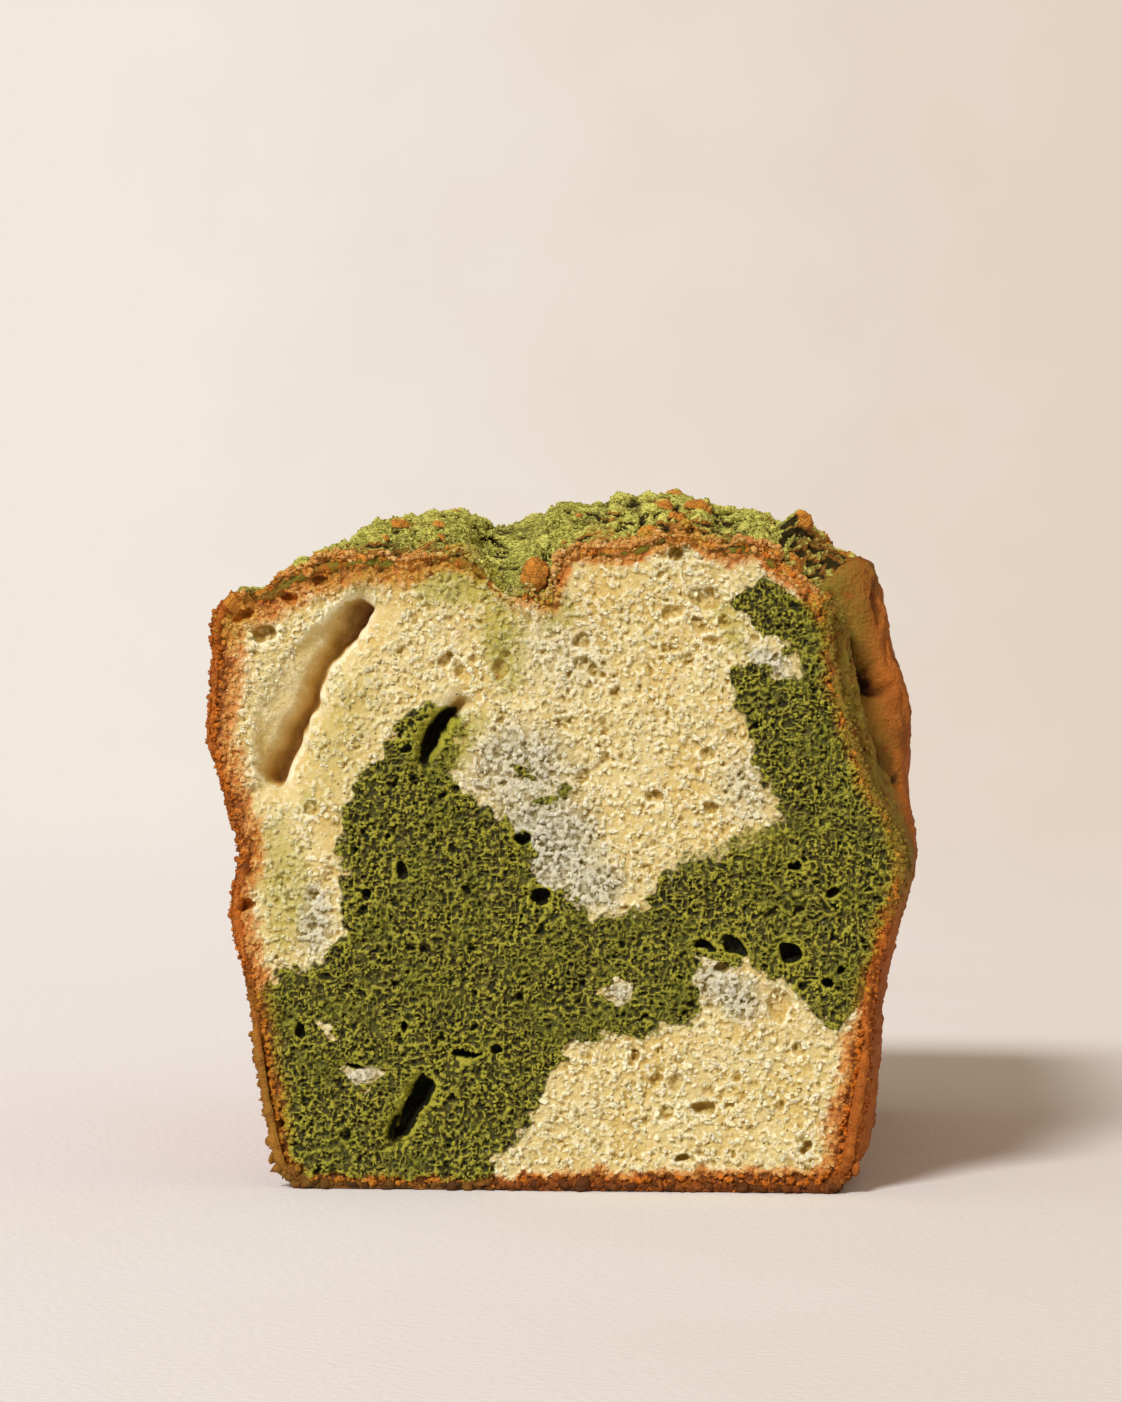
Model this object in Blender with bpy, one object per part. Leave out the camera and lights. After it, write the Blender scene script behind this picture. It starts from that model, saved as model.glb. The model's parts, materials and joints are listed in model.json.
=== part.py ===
"""Marble loaf cake: a pound cake from a small tapered tin, cut across to show the crumb.

The cake stands on its flat base with the cut end facing -Y and the baked end at +Y.
It is one solid: tapered tin walls, a risen and cracked crown, a torn fold on the right
flank just behind the cut, and the large air pockets that the knife has opened.
"""

import math

import bmesh
import bpy
from mathutils import Euler, Vector, noise

MM = 0.001

# Driving dimensions, in millimetres. The cut end lies at y = 0 and the length runs to +Y.
LENGTH = 106.0
BASE_LEFT = -32.6
BASE_RIGHT = 33.4
TIN_HALF_BASE = 34.9
TIN_TAPER = 0.172
RIM_HEIGHT = 44.0
RIM_HALF_WIDTH = 43.2
RIM_DRAW_IN = 0.0045
END_ROUNDING = 9.0
END_SLOPE = math.tan(math.radians(9.0))
END_HALF_WIDTH = 42.0
END_MIDDLE_HEIGHT = 36.0
CROWN_FALL = 16.0
CROWN_FALL_START = 60.0
CROWN_FALL_HEIGHT = 54.0

# Heights at which the side walls are measured, from the base up.
WALL_HEIGHTS = (2, 5, 11, 19, 26, 32, 37, 42, 47, 52, 57, 62, 67, 72)
# Half widths at those heights: the knife's section, then the fuller right flank behind the fold.
CUT_LEFT = (34.6, 35.8, 37.1, 38.4, 39.8, 41.6, 41.8, 40.8, 41.9, 43.4, 44.6, 44.5, 44.1, 44.2)
CUT_RIGHT = (35.1, 35.9, 37.0, 38.4, 39.5, 40.6, 42.3, 43.3, 41.2, 38.4, 36.6, 35.2, 34.2, 33.7)
FLANK_RIGHT = (36.2, 37.5, 38.6, 39.9, 41.1, 42.1, 43.4, 44.4, 43.7, 43.0, 43.7, 43.5, 41.2, 40.6)

# The top edge of the cut, from the left shoulder over two hills and the crack to the right one.
CUT_TOP = (
    (-41.7, 75.4), (-39.6, 74.9), (-37.4, 75.5), (-35.4, 77.1), (-32.7, 78.6), (-28.9, 79.5),
    (-25.2, 80.0), (-20.8, 79.5), (-16.4, 80.0), (-12.4, 79.9), (-9.6, 78.4), (-7.2, 75.2),
    (-1.8, 74.2), (-0.7, 78.4), (0.4, 80.5), (4.8, 81.1), (9.8, 81.0), (13.3, 82.8),
    (17.3, 82.1), (21.7, 80.8), (25.4, 81.2), (27.3, 79.6), (29.0, 77.9), (30.8, 76.4),
    (32.6, 75.0),
)
# The same landmarks on the crown, a finger's width behind the cut.
CROWN_TOP = (
    (-41.7, 75.3), (-39.3, 75.1), (-37.4, 76.0), (-35.0, 78.2), (-31.6, 80.4), (-27.5, 82.2),
    (-23.5, 84.3), (-19.5, 85.0), (-15.4, 85.3), (-12.0, 85.5), (-9.8, 83.9), (-8.2, 82.8),
    (-6.6, 82.6), (-4.9, 84.0), (-2.7, 85.5), (1.7, 86.5), (6.4, 87.3), (11.1, 87.6),
    (15.4, 86.6), (19.5, 85.4), (24.2, 85.2), (25.8, 82.6), (28.9, 85.8), (32.3, 81.4),
    (38.4, 79.2),
)

# The plain crown of the uncut length: a dome with the crack wandering along it.
DOME_EDGE = 39.2
DOME_HALF_SPAN = 41.1
DOME_FOOT = 72.6
DOME_RISE = 14.2
DOME_FULLNESS = 2.5
CRACK_PLACE = -5.0
CRACK_WANDER = 3.5
CRACK_WANDER_LENGTH = 19.0
CRACK_HALF_WIDTH = 5.5
CRACK_DEPTH = 3.6

# Places along the length.
CROWN_REACH = 24.0
DOME_START = 15.0
DOME_FULL = 46.0
FLAP_REACH = 6.6
FOLD_PLACE = 8.4
FOLD_WIDTH = 1.3
FOLD_DEPTH = 3.4
FOLD_LOW = 60.0
FOLD_HIGH = 80.0
FLANK_START = 8.0
FLANK_FULL = 12.5
PLAIN_WALL_START = 16.0
PLAIN_WALL_FULL = 42.0
FLAP_LIFT = 2.6

EGG_SEGMENTS = 16
EGG_RINGS = 10
STEPS_PER_STATION = 2
BASE_STEPS = 12
RINGS = (0, 1.2, 2.6, 4.2, 5.8, 7.2, 8.4, 9.6, 11, 13, 15.5, 18.5, 22, 26, 31, 37, 44, 51, 58, 65, 72, 79, 85, 90)
END_ROUND_STEPS = 4
END_WALL_SCALES = (0.78, 0.5, 0.22)
END_WALL_CROWN = 1.6

# Unevenness of the baked surface.
WALL_WAVE = 0.7
WALL_WAVE_SIZE = 17.0
CRAG_HEIGHT = 1.5
CRAG_SIZE = 7.0
CRAG_FLOOR = 66.0

# Air pockets that the knife has opened in the cut: place across and up, half sizes, turn in degrees.
POCKETS = {
    "long_fold": ((-33.2, 62.4), (11.6, 6.2, 3.7), 63.0),
    "long_fold_top": ((-27.8, 70.2), (6.2, 4.6, 2.3), 38.0),
    "dark_cleft": ((-14.2, 57.2), (6.2, 7.0, 1.6), 57.0),
    "low_slit": ((-18.8, 9.8), (5.4, 5.0, 1.7), 57.0),
    "round_hole": ((28.4, 30.1), (1.6, 3.4, 1.4), -20.0),
    "crumb_hole": ((-2.7, 36.9), (1.3, 2.6, 1.4), 0.0),
    "upper_hole": ((-5.0, 44.5), (1.2, 2.2, 0.9), 15.0),
    "seam_hole": ((18.4, 30.8), (2.2, 2.4, 0.8), -38.0),
}
# The gap that the torn fold leaves under the right shoulder.
FLANK_GAP = (39.4, 9.0, 64.6)
FLANK_GAP_HALF_SIZE = (4.4, 1.8, 1.9)
FLANK_GAP_TURN = -54.0
# A knob of browned crust that stands in the crack.
KNOB = (-3.9, 2.6, 76.6)
KNOB_HALF_SIZE = (1.9, 2.3, 2.7)


def ease(value, start, end):
    """0 before start, 1 after end, and a smooth rise between them."""
    share = min(1.0, max(0.0, (value - start) / (end - start)))
    return share * share * (3.0 - 2.0 * share)


def mixed(first, second, share):
    """Value part of the way from first to second, for numbers or points."""
    if isinstance(first, (tuple, list)):
        return tuple(mixed(a, b, share) for a, b in zip(first, second))
    return first + (second - first) * share


def curve_through(stations):
    """Points on a smooth curve through the stations, a fixed number of steps for each."""
    last = len(stations) - 1
    points = []
    for index in range(last):
        before = stations[max(index - 1, 0)]
        start, end = stations[index], stations[index + 1]
        after = stations[min(index + 2, last)]
        for step in range(STEPS_PER_STATION):
            t = step / STEPS_PER_STATION
            points.append(tuple(
                0.5 * (2 * b + (c - a) * t + (2 * a - 5 * b + 4 * c - d) * t ** 2
                       + (3 * b - a - 3 * c + d) * t ** 3)
                for a, b, c, d in zip(before, start, end, after)
            ))
    points.append(tuple(stations[last]))
    return points


def tin_half_width(height):
    """Half width of the uncut length at a height: tapered to the rim, then drawn in a little."""
    above = max(height - RIM_HEIGHT, 0.0)
    return min(TIN_HALF_BASE + TIN_TAPER * height, RIM_HALF_WIDTH) - RIM_DRAW_IN * above ** 2


def crown_fall(y, height):
    """How far the crown has sunk toward the baked end: most at its top, nothing at the walls."""
    over = max(height - CROWN_FALL_HEIGHT, 0.0) / (DOME_FOOT + DOME_RISE - CROWN_FALL_HEIGHT)
    return CROWN_FALL * ease(y, CROWN_FALL_START, LENGTH + 8.0) * over ** 1.5


def dome(y):
    """Stations over the plain crown, as many as the cut has."""
    crack = CRACK_PLACE + CRACK_WANDER * math.sin(y / CRACK_WANDER_LENGTH)
    last = len(CUT_TOP) - 1
    stations = []
    for index in range(last + 1):
        across = mixed(-DOME_EDGE, DOME_EDGE, index / last)
        bow = 1.0 - abs(across / DOME_HALF_SPAN) ** DOME_FULLNESS
        valley = CRACK_DEPTH * math.exp(-(((across - crack) / CRACK_HALF_WIDTH) ** 2))
        stations.append((across, DOME_FOOT + DOME_RISE * bow ** 0.85 - valley))
    return stations


def left_wall(y):
    """Stations up the left wall at a place along the length."""
    share = ease(y, 0.0, PLAIN_WALL_FULL)
    return [
        (-mixed(cut, tin_half_width(height), share), height)
        for cut, height in zip(CUT_LEFT, WALL_HEIGHTS)
    ]


def right_wall(y):
    """Stations up the right wall: the knife's slanting flank, its torn fold, then the full wall."""
    behind = ease(y, FLANK_START, FLANK_FULL)
    plain = ease(y, PLAIN_WALL_START, PLAIN_WALL_FULL)
    groove = FOLD_DEPTH * math.exp(-(((y - FOLD_PLACE) / FOLD_WIDTH) ** 2))
    stations = []
    for cut, flank, height in zip(CUT_RIGHT, FLANK_RIGHT, WALL_HEIGHTS):
        high = ease(height, FOLD_LOW - 8.0, FOLD_LOW)
        flap = cut + FLAP_LIFT * ease(height, 44.0, 56.0) * ease(y, 0.0, FLAP_REACH)
        early = ease(y, 0.0, FLANK_FULL)
        outer = mixed(flank, tin_half_width(height), plain)
        reach = mixed(mixed(cut, outer, early), mixed(flap, outer, behind), ease(height, 42.0, 50.0))
        stations.append((reach - groove * high, height))
    return stations


def crown(y):
    """Stations over the top, from the left shoulder to the right one."""
    rise = ease(y, -CROWN_REACH * 0.35, CROWN_REACH)
    start = ease(0.0, -CROWN_REACH * 0.35, CROWN_REACH)
    share = (rise - start) / (1.0 - start)
    shoulder = ease(y, FLANK_START, FLANK_FULL)
    plain = ease(y, DOME_START, DOME_FULL)
    return [
        mixed(mixed(cut, high, shoulder if cut[0] > 28.0 else share), far, plain)
        for cut, high, far in zip(CUT_TOP, CROWN_TOP, dome(y))
    ]


def section(y):
    """The closed outline of the cake at a place along its length, as (x, z) points."""
    left = curve_through([(BASE_LEFT, 0.0), *left_wall(y), crown(y)[0]])
    top = curve_through(crown(y))
    right = curve_through([crown(y)[-1], *reversed(right_wall(y)), (BASE_RIGHT, 0.0)])
    base = [
        (mixed(BASE_RIGHT, BASE_LEFT, step / BASE_STEPS), 0.0) for step in range(1, BASE_STEPS)
    ]
    return [*left[:-1], *top[:-1], *right, *base]


def roughened(x, y, z):
    """The point moved by the slow waves of the walls and the crags of the crown."""
    if z < 0.01:
        return Vector((x, y, 0.0))
    settle = ease(z, 0.0, 8.0) * ease(y, 0.0, 10.0)
    place = Vector((x, y, z)) / WALL_WAVE_SIZE
    wave = noise.noise(place) * WALL_WAVE * settle
    side = 1.0 if x > 0 else -1.0
    crag_place = Vector((x, y * 0.8, z * 0.5)) / CRAG_SIZE
    ridge = 0.5 - abs(noise.noise(crag_place + Vector((3.1, 7.7, 1.3))))
    crag = (ridge + noise.noise(crag_place * 2.1) * 0.5) * CRAG_HEIGHT
    upper = ease(z, CRAG_FLOOR, CRAG_FLOOR + 9.0)
    lift = (crag - 0.3) * upper * ease(y, 0.5, 6.0) - crown_fall(y, z)
    return Vector((x + side * wave * (1.0 - upper), y, z + lift))


def end_place(x, y, z):
    """The point leaned back as the tin's end wall leans, close to the baked end."""
    lean = (z - END_MIDDLE_HEIGHT) * END_SLOPE * ease(y, LENGTH - 40.0, LENGTH - 8.0)
    return Vector((x, y + lean * ease(z, -20.0, 30.0), z))


def ring_points(y, scale=1.0, source_y=None):
    """One ring of the cake. Rings of the end wall are smaller copies of its last section."""
    points = []
    for x, z in section(y if source_y is None else source_y):
        point = roughened(x, y if source_y is None else source_y, z)
        height = END_MIDDLE_HEIGHT + (point.z - END_MIDDLE_HEIGHT) * scale
        points.append(end_place(point.x * scale, y, height))
    return points


def cake_rings():
    """All rings from the cut to the middle of the end wall."""
    rings = [ring_points(y) for y in RINGS]
    round_start = LENGTH - END_ROUNDING
    for step in range(END_ROUND_STEPS + 1):
        angle = math.pi / 2 * step / END_ROUND_STEPS
        inset = END_ROUNDING * (1.0 - math.cos(angle))
        y = round_start + END_ROUNDING * math.sin(angle)
        rings.append(ring_points(y, 1.0 - inset / END_HALF_WIDTH, round_start))
    wall_scale = 1.0 - END_ROUNDING / END_HALF_WIDTH
    for scale in END_WALL_SCALES:
        y = LENGTH + END_WALL_CROWN * (1.0 - scale ** 2)
        rings.append(ring_points(y, wall_scale * scale, round_start))
    return rings


def loft(rings):
    """A closed mesh through the rings, with a flat cut face and a fan on the end wall."""
    made = bmesh.new()
    rows = [[made.verts.new(point) for point in ring] for ring in rings]
    count = len(rows[0])
    for near, far in zip(rows, rows[1:]):
        for index in range(count):
            following = (index + 1) % count
            made.faces.new((near[index], near[following], far[following], far[index]))
    made.faces.new(rows[0])
    middle = made.verts.new(sum((vert.co for vert in rows[-1]), Vector()) / count)
    for index in range(count):
        made.faces.new((rows[-1][index], rows[-1][(index + 1) % count], middle))
    bmesh.ops.recalc_face_normals(made, faces=made.faces)
    return made


def new_collection(name):
    """A named collection in the scene."""
    collection = bpy.data.collections.new(name)
    bpy.context.scene.collection.children.link(collection)
    return collection


def cake_material():
    """Baked sponge: matt, and the colour of the crust and the green crumb together."""
    material = bpy.data.materials.new("baked_sponge")
    material.use_nodes = True
    shader = material.node_tree.nodes["Principled BSDF"]
    shader.inputs["Base Color"].default_value = (0.42, 0.33, 0.10, 1.0)
    shader.inputs["Roughness"].default_value = 0.85
    shader.inputs["Metallic"].default_value = 0.0
    return material


def egg(name, place, half_size, turn, collection):
    """A stretched sphere, turned in the plane of the cut, that cuts or adds a rounded form."""
    bpy.ops.mesh.primitive_uv_sphere_add(segments=EGG_SEGMENTS, ring_count=EGG_RINGS, radius=1.0)
    made = bpy.context.object
    made.name = name
    made.data.transform(made.matrix_basis)
    for vert in made.data.vertices:
        vert.co = Vector(a * b for a, b in zip(vert.co, half_size)) * MM
    made.location = place * MM
    made.rotation_euler = Euler((0.0, -math.radians(turn), 0.0))
    for holder in list(made.users_collection):
        holder.objects.unlink(made)
    collection.objects.link(made)
    made.hide_render = True
    made.display_type = "WIRE"
    return made


def carve(cake, other, operation):
    """A Boolean modifier that cuts a helper out of the cake or joins it on."""
    modifier = cake.modifiers.new(other.name, "BOOLEAN")
    modifier.object = other
    modifier.operation = operation
    modifier.solver = "EXACT"


def build_cake():
    """The cake, centred on its own box and standing on z = 0, with its pockets and its knob."""
    for old in list(bpy.data.objects):
        bpy.data.objects.remove(old)
    parts = new_collection("marble_loaf_cake")
    helpers = new_collection("helpers")

    form = loft(cake_rings())
    lows = Vector(min(vert.co[axis] for vert in form.verts) for axis in range(3))
    highs = Vector(max(vert.co[axis] for vert in form.verts) for axis in range(3))
    centre = Vector(((lows.x + highs.x) / 2, (lows.y + highs.y) / 2, 0.0))
    for vert in form.verts:
        vert.co = (vert.co - centre) * MM
    mesh = bpy.data.meshes.new("loaf")
    form.to_mesh(mesh)
    form.free()
    cake = bpy.data.objects.new("loaf", mesh)
    parts.objects.link(cake)
    mesh.materials.append(cake_material())
    mesh.shade_smooth()
    mesh.set_sharp_from_angle(angle=math.radians(50.0))

    knob = egg("knob", Vector(KNOB) - centre, KNOB_HALF_SIZE, 12.0, helpers)
    carve(cake, knob, "UNION")
    for name, (place, half_size, turn) in POCKETS.items():
        across, up = place
        cutter = egg(name, Vector((across, 0.0, up)) - centre, half_size, turn, helpers)
        carve(cake, cutter, "DIFFERENCE")
    gap = egg("flank_gap", Vector(FLANK_GAP) - centre, FLANK_GAP_HALF_SIZE, FLANK_GAP_TURN, helpers)
    carve(cake, gap, "DIFFERENCE")


build_cake()
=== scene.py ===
"""Marble loaf cake, dressed: a crumb of green tea and vanilla on the cut end, browned walls
and a cracked crown under green powder.

Lengths in the modelling code are millimetres. The cake stands on z = 0 with its cut facing -Y.
"Behind" is the distance from the knife's plane into the cake.
"""

import itertools
import json
import math

import bmesh
import bpy
import numpy as np
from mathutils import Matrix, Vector
from mathutils.bvhtree import BVHTree

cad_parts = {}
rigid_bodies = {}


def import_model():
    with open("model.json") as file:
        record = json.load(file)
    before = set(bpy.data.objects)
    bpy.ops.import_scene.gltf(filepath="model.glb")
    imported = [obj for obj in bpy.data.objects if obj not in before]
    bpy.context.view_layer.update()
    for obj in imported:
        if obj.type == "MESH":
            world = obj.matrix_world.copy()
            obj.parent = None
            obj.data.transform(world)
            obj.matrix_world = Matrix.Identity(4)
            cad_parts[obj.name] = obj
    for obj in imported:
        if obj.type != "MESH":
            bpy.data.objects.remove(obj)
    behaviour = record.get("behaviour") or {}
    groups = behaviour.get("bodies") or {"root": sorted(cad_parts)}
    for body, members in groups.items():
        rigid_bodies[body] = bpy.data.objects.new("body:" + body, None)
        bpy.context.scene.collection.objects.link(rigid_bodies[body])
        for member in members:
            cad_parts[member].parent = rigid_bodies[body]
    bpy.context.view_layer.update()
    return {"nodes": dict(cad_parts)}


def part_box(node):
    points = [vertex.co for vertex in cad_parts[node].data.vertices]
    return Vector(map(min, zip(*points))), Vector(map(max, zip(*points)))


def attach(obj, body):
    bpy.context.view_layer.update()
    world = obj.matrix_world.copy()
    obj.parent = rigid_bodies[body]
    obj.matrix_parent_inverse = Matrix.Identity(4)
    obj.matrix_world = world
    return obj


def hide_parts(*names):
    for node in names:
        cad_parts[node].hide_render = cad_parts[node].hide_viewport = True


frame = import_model()

bl_info = {
    "name": "Marble Loaf Cake",
    "version": (1, 0, 0),
    "blender": (4, 5, 0),
    "location": "3D View > Sidebar > Marble Loaf",
    "description": "Builds the crumb, crust and powdered crown of a cut marble loaf cake",
    "category": "Add Mesh",
}

MM = 0.001
NODE = "loaf"
BOX_LOW, BOX_HIGH = (np.array(corner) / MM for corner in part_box(NODE))
KNIFE = BOX_LOW[1]
LENGTH = BOX_HIGH[1] - BOX_LOW[1]
# The middle that the skin is wrapped around, across and up.
HEART = np.array((0.0, 40.0))

# The edge of the green crumb on the cut, across and up, clockwise from the top of its west side.
GREEN_OUTLINE = (
    (-13.3, 61.5), (-16.2, 61.5), (-19.2, 59.6), (-22.1, 55.9), (-24.9, 53.4), (-26.4, 49.6),
    (-27.6, 45.2), (-27.6, 39.0), (-28.1, 31.5), (-29.6, 29.6), (-31.7, 27.9), (-34.6, 28.4),
    (-37.4, 25.9), (-48.0, 25.0), (-48.0, -4.0), (-8.1, -4.0), (-8.1, 4.0), (-5.2, 7.1),
    (-2.7, 11.5), (-1.1, 15.2), (1.7, 18.4), (6.1, 19.0), (11.7, 20.5), (15.4, 20.8),
    (17.3, 22.5), (16.3, 25.5), (17.8, 28.4), (17.8, 30.8), (20.1, 29.6), (23.8, 28.8),
    (26.7, 26.5), (29.4, 24.0), (32.3, 21.5), (35.2, 20.0), (37.6, 22.8), (41.0, 27.0),
    (50.0, 30.0), (50.0, 60.0), (42.0, 78.0), (34.5, 77.0), (32.6, 74.6), (29.8, 75.2),
    (26.1, 77.1), (21.7, 75.9), (21.2, 74.0), (23.6, 71.2), (26.7, 68.9), (29.8, 65.5),
    (27.3, 65.0), (23.6, 66.2), (22.1, 65.5), (22.3, 61.5), (23.8, 56.5), (25.2, 52.8),
    (27.1, 49.6), (26.9, 46.8), (22.3, 44.0), (16.7, 42.1), (12.3, 40.2), (9.6, 35.0),
    (4.8, 34.2), (0.1, 37.1), (-2.3, 39.6), (-3.9, 44.0), (-5.8, 47.1), (-10.4, 49.6),
    (-13.7, 52.1), (-13.3, 55.2), (-11.7, 58.4),
)
# Where the two batters have blurred into each other: place, half sizes, turn, and how far.
BLURRED_EDGES = (
    ((20.0, 43.5), (9.0, 3.6), 18.0, 2.2),
    ((24.0, 30.0), (4.0, 3.0), -35.0, 1.0),
    ((-14.0, 56.0), (3.0, 6.0), 0.0, 0.9),
)
# Vanilla caught in the green crumb, and green in the vanilla: place, half sizes, turn.
VANILLA_FLECKS = (
    ((7.3, 24.6), (2.6, 1.6), 12.0),
    ((-25.2, 14.4), (2.8, 1.9), -10.0),
    ((-29.6, 19.6), (1.3, 1.0), 0.0),
    ((20.4, 26.6), (2.2, 1.0), 40.0),
)
GREEN_FLECKS = (
    ((-0.2, 50.2), (1.9, 1.5), 20.0),
    ((-2.6, 49.0), (1.5, 1.1), 0.0),
    ((-4.6, 52.4), (1.6, 0.8), -30.0),
    ((18.8, 30.4), (2.0, 1.0), -25.0),
)
# A yellow-green stain in the vanilla, and a cooler, greyer white: place, half sizes, turn, strength.
MOSSY_PATCHES = (
    ((-7.1, 69.0), (3.4, 7.8), 8.0, 0.8),
    ((-12.0, 76.6), (9.5, 5.0), 0.0, 0.85),
    ((-1.0, 73.0), (3.4, 4.0), 0.0, 0.6),
    ((-24.0, 79.0), (16.0, 5.0), 0.0, 0.55),
    ((18.0, 82.0), (14.0, 3.0), 0.0, 0.35),
    ((-42.0, 72.0), (4.5, 4.0), 20.0, 0.6),
    ((-12.2, 56.4), (2.6, 5.4), -34.0, 0.85),
    ((-35.0, 38.0), (4.2, 11.0), 4.0, 0.6),
    ((-27.0, 58.0), (5.0, 12.0), -20.0, 0.25),
    ((21.4, 70.6), (2.4, 5.0), 20.0, 0.5),
    ((25.0, 44.0), (6.0, 2.6), 20.0, 0.7),
    ((-31.5, 49.0), (1.6, 2.6), 30.0, 0.4),
)
COOL_PATCHES = (
    ((-2.0, 44.0), (9.0, 10.5), 20.0, 1.0),
    ((-5.0, 53.0), (9.0, 7.5), 0.0, 0.85),
    ((3.5, 38.5), (5.5, 5.0), 0.0, 0.9),
    ((26.0, 66.8), (4.0, 2.4), -35.0, 0.9),
    ((23.0, 51.0), (4.5, 6.0), 0.0, 0.5),
    ((21.0, 25.0), (7.0, 4.0), -40.0, 0.9),
    ((7.3, 24.6), (3.0, 2.0), 12.0, 0.9),
    ((-25.2, 14.4), (3.0, 2.2), -10.0, 0.9),
    ((-31.0, 34.0), (3.0, 6.0), 0.0, 0.8),
    ((0.0, 68.0), (7.0, 10.0), 0.0, 0.3),
)
# The long hollow at the upper left, with a smooth ramp that runs in under its right lip.
LONG_HOLLOW = (
    (-23.3, 73.4), (-24.4, 71.2), (-27.9, 67.5), (-29.9, 64.2), (-31.1, 60.5), (-32.7, 56.9),
    (-34.2, 53.4), (-35.6, 50.4), (-37.4, 50.4), (-39.4, 53.6), (-39.8, 57.4), (-39.4, 62.4),
    (-38.0, 65.8), (-34.8, 69.0), (-31.0, 71.2), (-28.8, 73.2), (-26.1, 74.6),
)
# The dark cleft between the vanilla lobe and the green, and the slit low in the green.
DARK_CLEFT = (
    (-10.2, 62.0), (-12.4, 59.6), (-14.6, 56.8), (-16.2, 53.4), (-17.1, 51.6), (-17.9, 52.8),
    (-17.9, 55.0), (-16.5, 58.8), (-14.1, 61.4), (-12.1, 62.4),
)
LOW_SLIT = (
    (-18.7, 14.2), (-15.4, 14.4), (-15.6, 12.1), (-17.7, 9.0), (-19.4, 5.4), (-21.2, 5.0),
    (-22.5, 5.9), (-22.1, 7.8), (-19.8, 10.5),
)
# Each hollow: its outline, its depth, the turn of its long axis, its width across that axis,
# its middle, and whether it deepens to the right (1) or the left (-1).
HOLLOWS = (
    (LONG_HOLLOW, 5.2, 63.0, 8.8, (-33.8, 62.6), 1),
    (DARK_CLEFT, 4.6, 58.0, 4.2, (-14.6, 57.2), -1),
    (LOW_SLIT, 4.6, 58.0, 4.0, (-18.9, 9.8), -1),
)
# Single pores: place, half sizes, turn, depth.
PORES = (
    ((28.6, 30.0), (1.7, 1.4), -20.0, 3.2), ((-2.7, 36.9), (1.4, 1.4), 0.0, 2.6),
    ((-4.8, 44.4), (1.3, 0.9), 15.0, 2.2), ((18.1, 30.9), (1.6, 0.7), -10.0, 2.0),
    ((21.7, 31.0), (2.0, 0.8), -42.0, 2.2), ((33.3, 26.5), (0.9, 0.8), 0.0, 2.0),
    ((35.2, 28.0), (0.6, 0.6), 0.0, 1.6), ((20.1, 28.0), (0.9, 0.7), 20.0, 1.4),
    ((-24.6, 36.9), (0.8, 0.9), 0.0, 1.6), ((-20.2, 40.2), (1.0, 1.2), 0.0, 1.8),
    ((-12.1, 17.1), (2.0, 0.5), 4.0, 2.0), ((-8.3, 17.6), (0.8, 0.6), 0.0, 1.6),
    ((-19.7, 20.5), (0.7, 0.7), 0.0, 1.6), ((-26.0, 15.6), (1.1, 0.35), -10.0, 1.6),
    ((-39.8, 35.9), (1.1, 0.9), 0.0, 1.6), ((-40.6, 33.4), (0.8, 0.7), 0.0, 1.4),
    ((17.9, 74.4), (2.2, 1.5), -12.0, 1.2), ((14.2, 72.7), (1.5, 1.1), 10.0, 0.8),
    ((3.8, 65.6), (2.4, 0.9), -28.0, 1.2), ((17.7, 10.5), (1.3, 1.2), 0.0, 1.7),
    ((30.6, 5.9), (0.9, 0.8), 0.0, 1.5), ((15.2, 4.4), (1.1, 0.7), 0.0, 1.6),
    ((18.6, 48.0), (1.1, 0.9), 0.0, 1.2), ((11.7, 49.6), (1.5, 0.9), 15.0, 1.0),
    ((9.4, 17.1), (0.8, 0.7), 0.0, 1.2), ((27.3, 23.4), (1.3, 2.2), 0.0, 1.1),
    ((-7.7, 65.5), (1.2, 1.2), 30.0, 1.3), ((14.2, 79.9), (1.2, 1.1), 0.0, 1.8),
    ((-40.2, 72.2), (1.8, 1.0), 25.0, 1.9), ((-37.4, 69.9), (1.9, 1.1), -20.0, 1.9),
    ((-34.2, 74.2), (1.2, 0.8), 10.0, 1.5), ((-30.4, 76.4), (1.2, 0.7), 10.0, 1.3),
    ((-19.8, 55.4), (0.9, 0.7), 30.0, 1.3), ((-14.6, 66.6), (1.2, 0.8), 60.0, 1.2),
    ((29.2, 41.0), (1.0, 0.8), 0.0, 1.8), ((34.0, 38.0), (0.9, 0.7), 0.0, 1.6),
    ((-18.6, 10.2), (4.6, 1.5), 58.0, 2.6), ((-33.0, 20.0), (0.8, 0.9), 0.0, 1.6),
    ((-36.5, 8.0), (1.2, 0.8), 20.0, 1.6),
)

# The cut crust's thickness at places round the cut: place, reach, thickness.
CRUST_DEPTHS = (
    ((-46.0, 66.0), 12.0, 5.2), ((-44.0, 46.0), 10.0, 4.2), ((-38.0, 22.0), 12.0, 4.2),
    ((-20.0, 0.0), 14.0, 2.0), ((16.0, 0.0), 14.0, 3.6), ((36.0, 8.0), 12.0, 4.2),
    ((42.0, 30.0), 12.0, 3.0), ((40.0, 52.0), 12.0, 2.4), ((36.0, 68.0), 10.0, 2.6),
    ((26.0, 81.0), 8.0, 3.6), ((10.0, 83.0), 10.0, 2.6), ((-6.0, 76.0), 7.0, 2.4),
    ((-18.0, 82.0), 9.0, 4.4), ((-32.0, 80.0), 9.0, 6.2),
)

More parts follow.
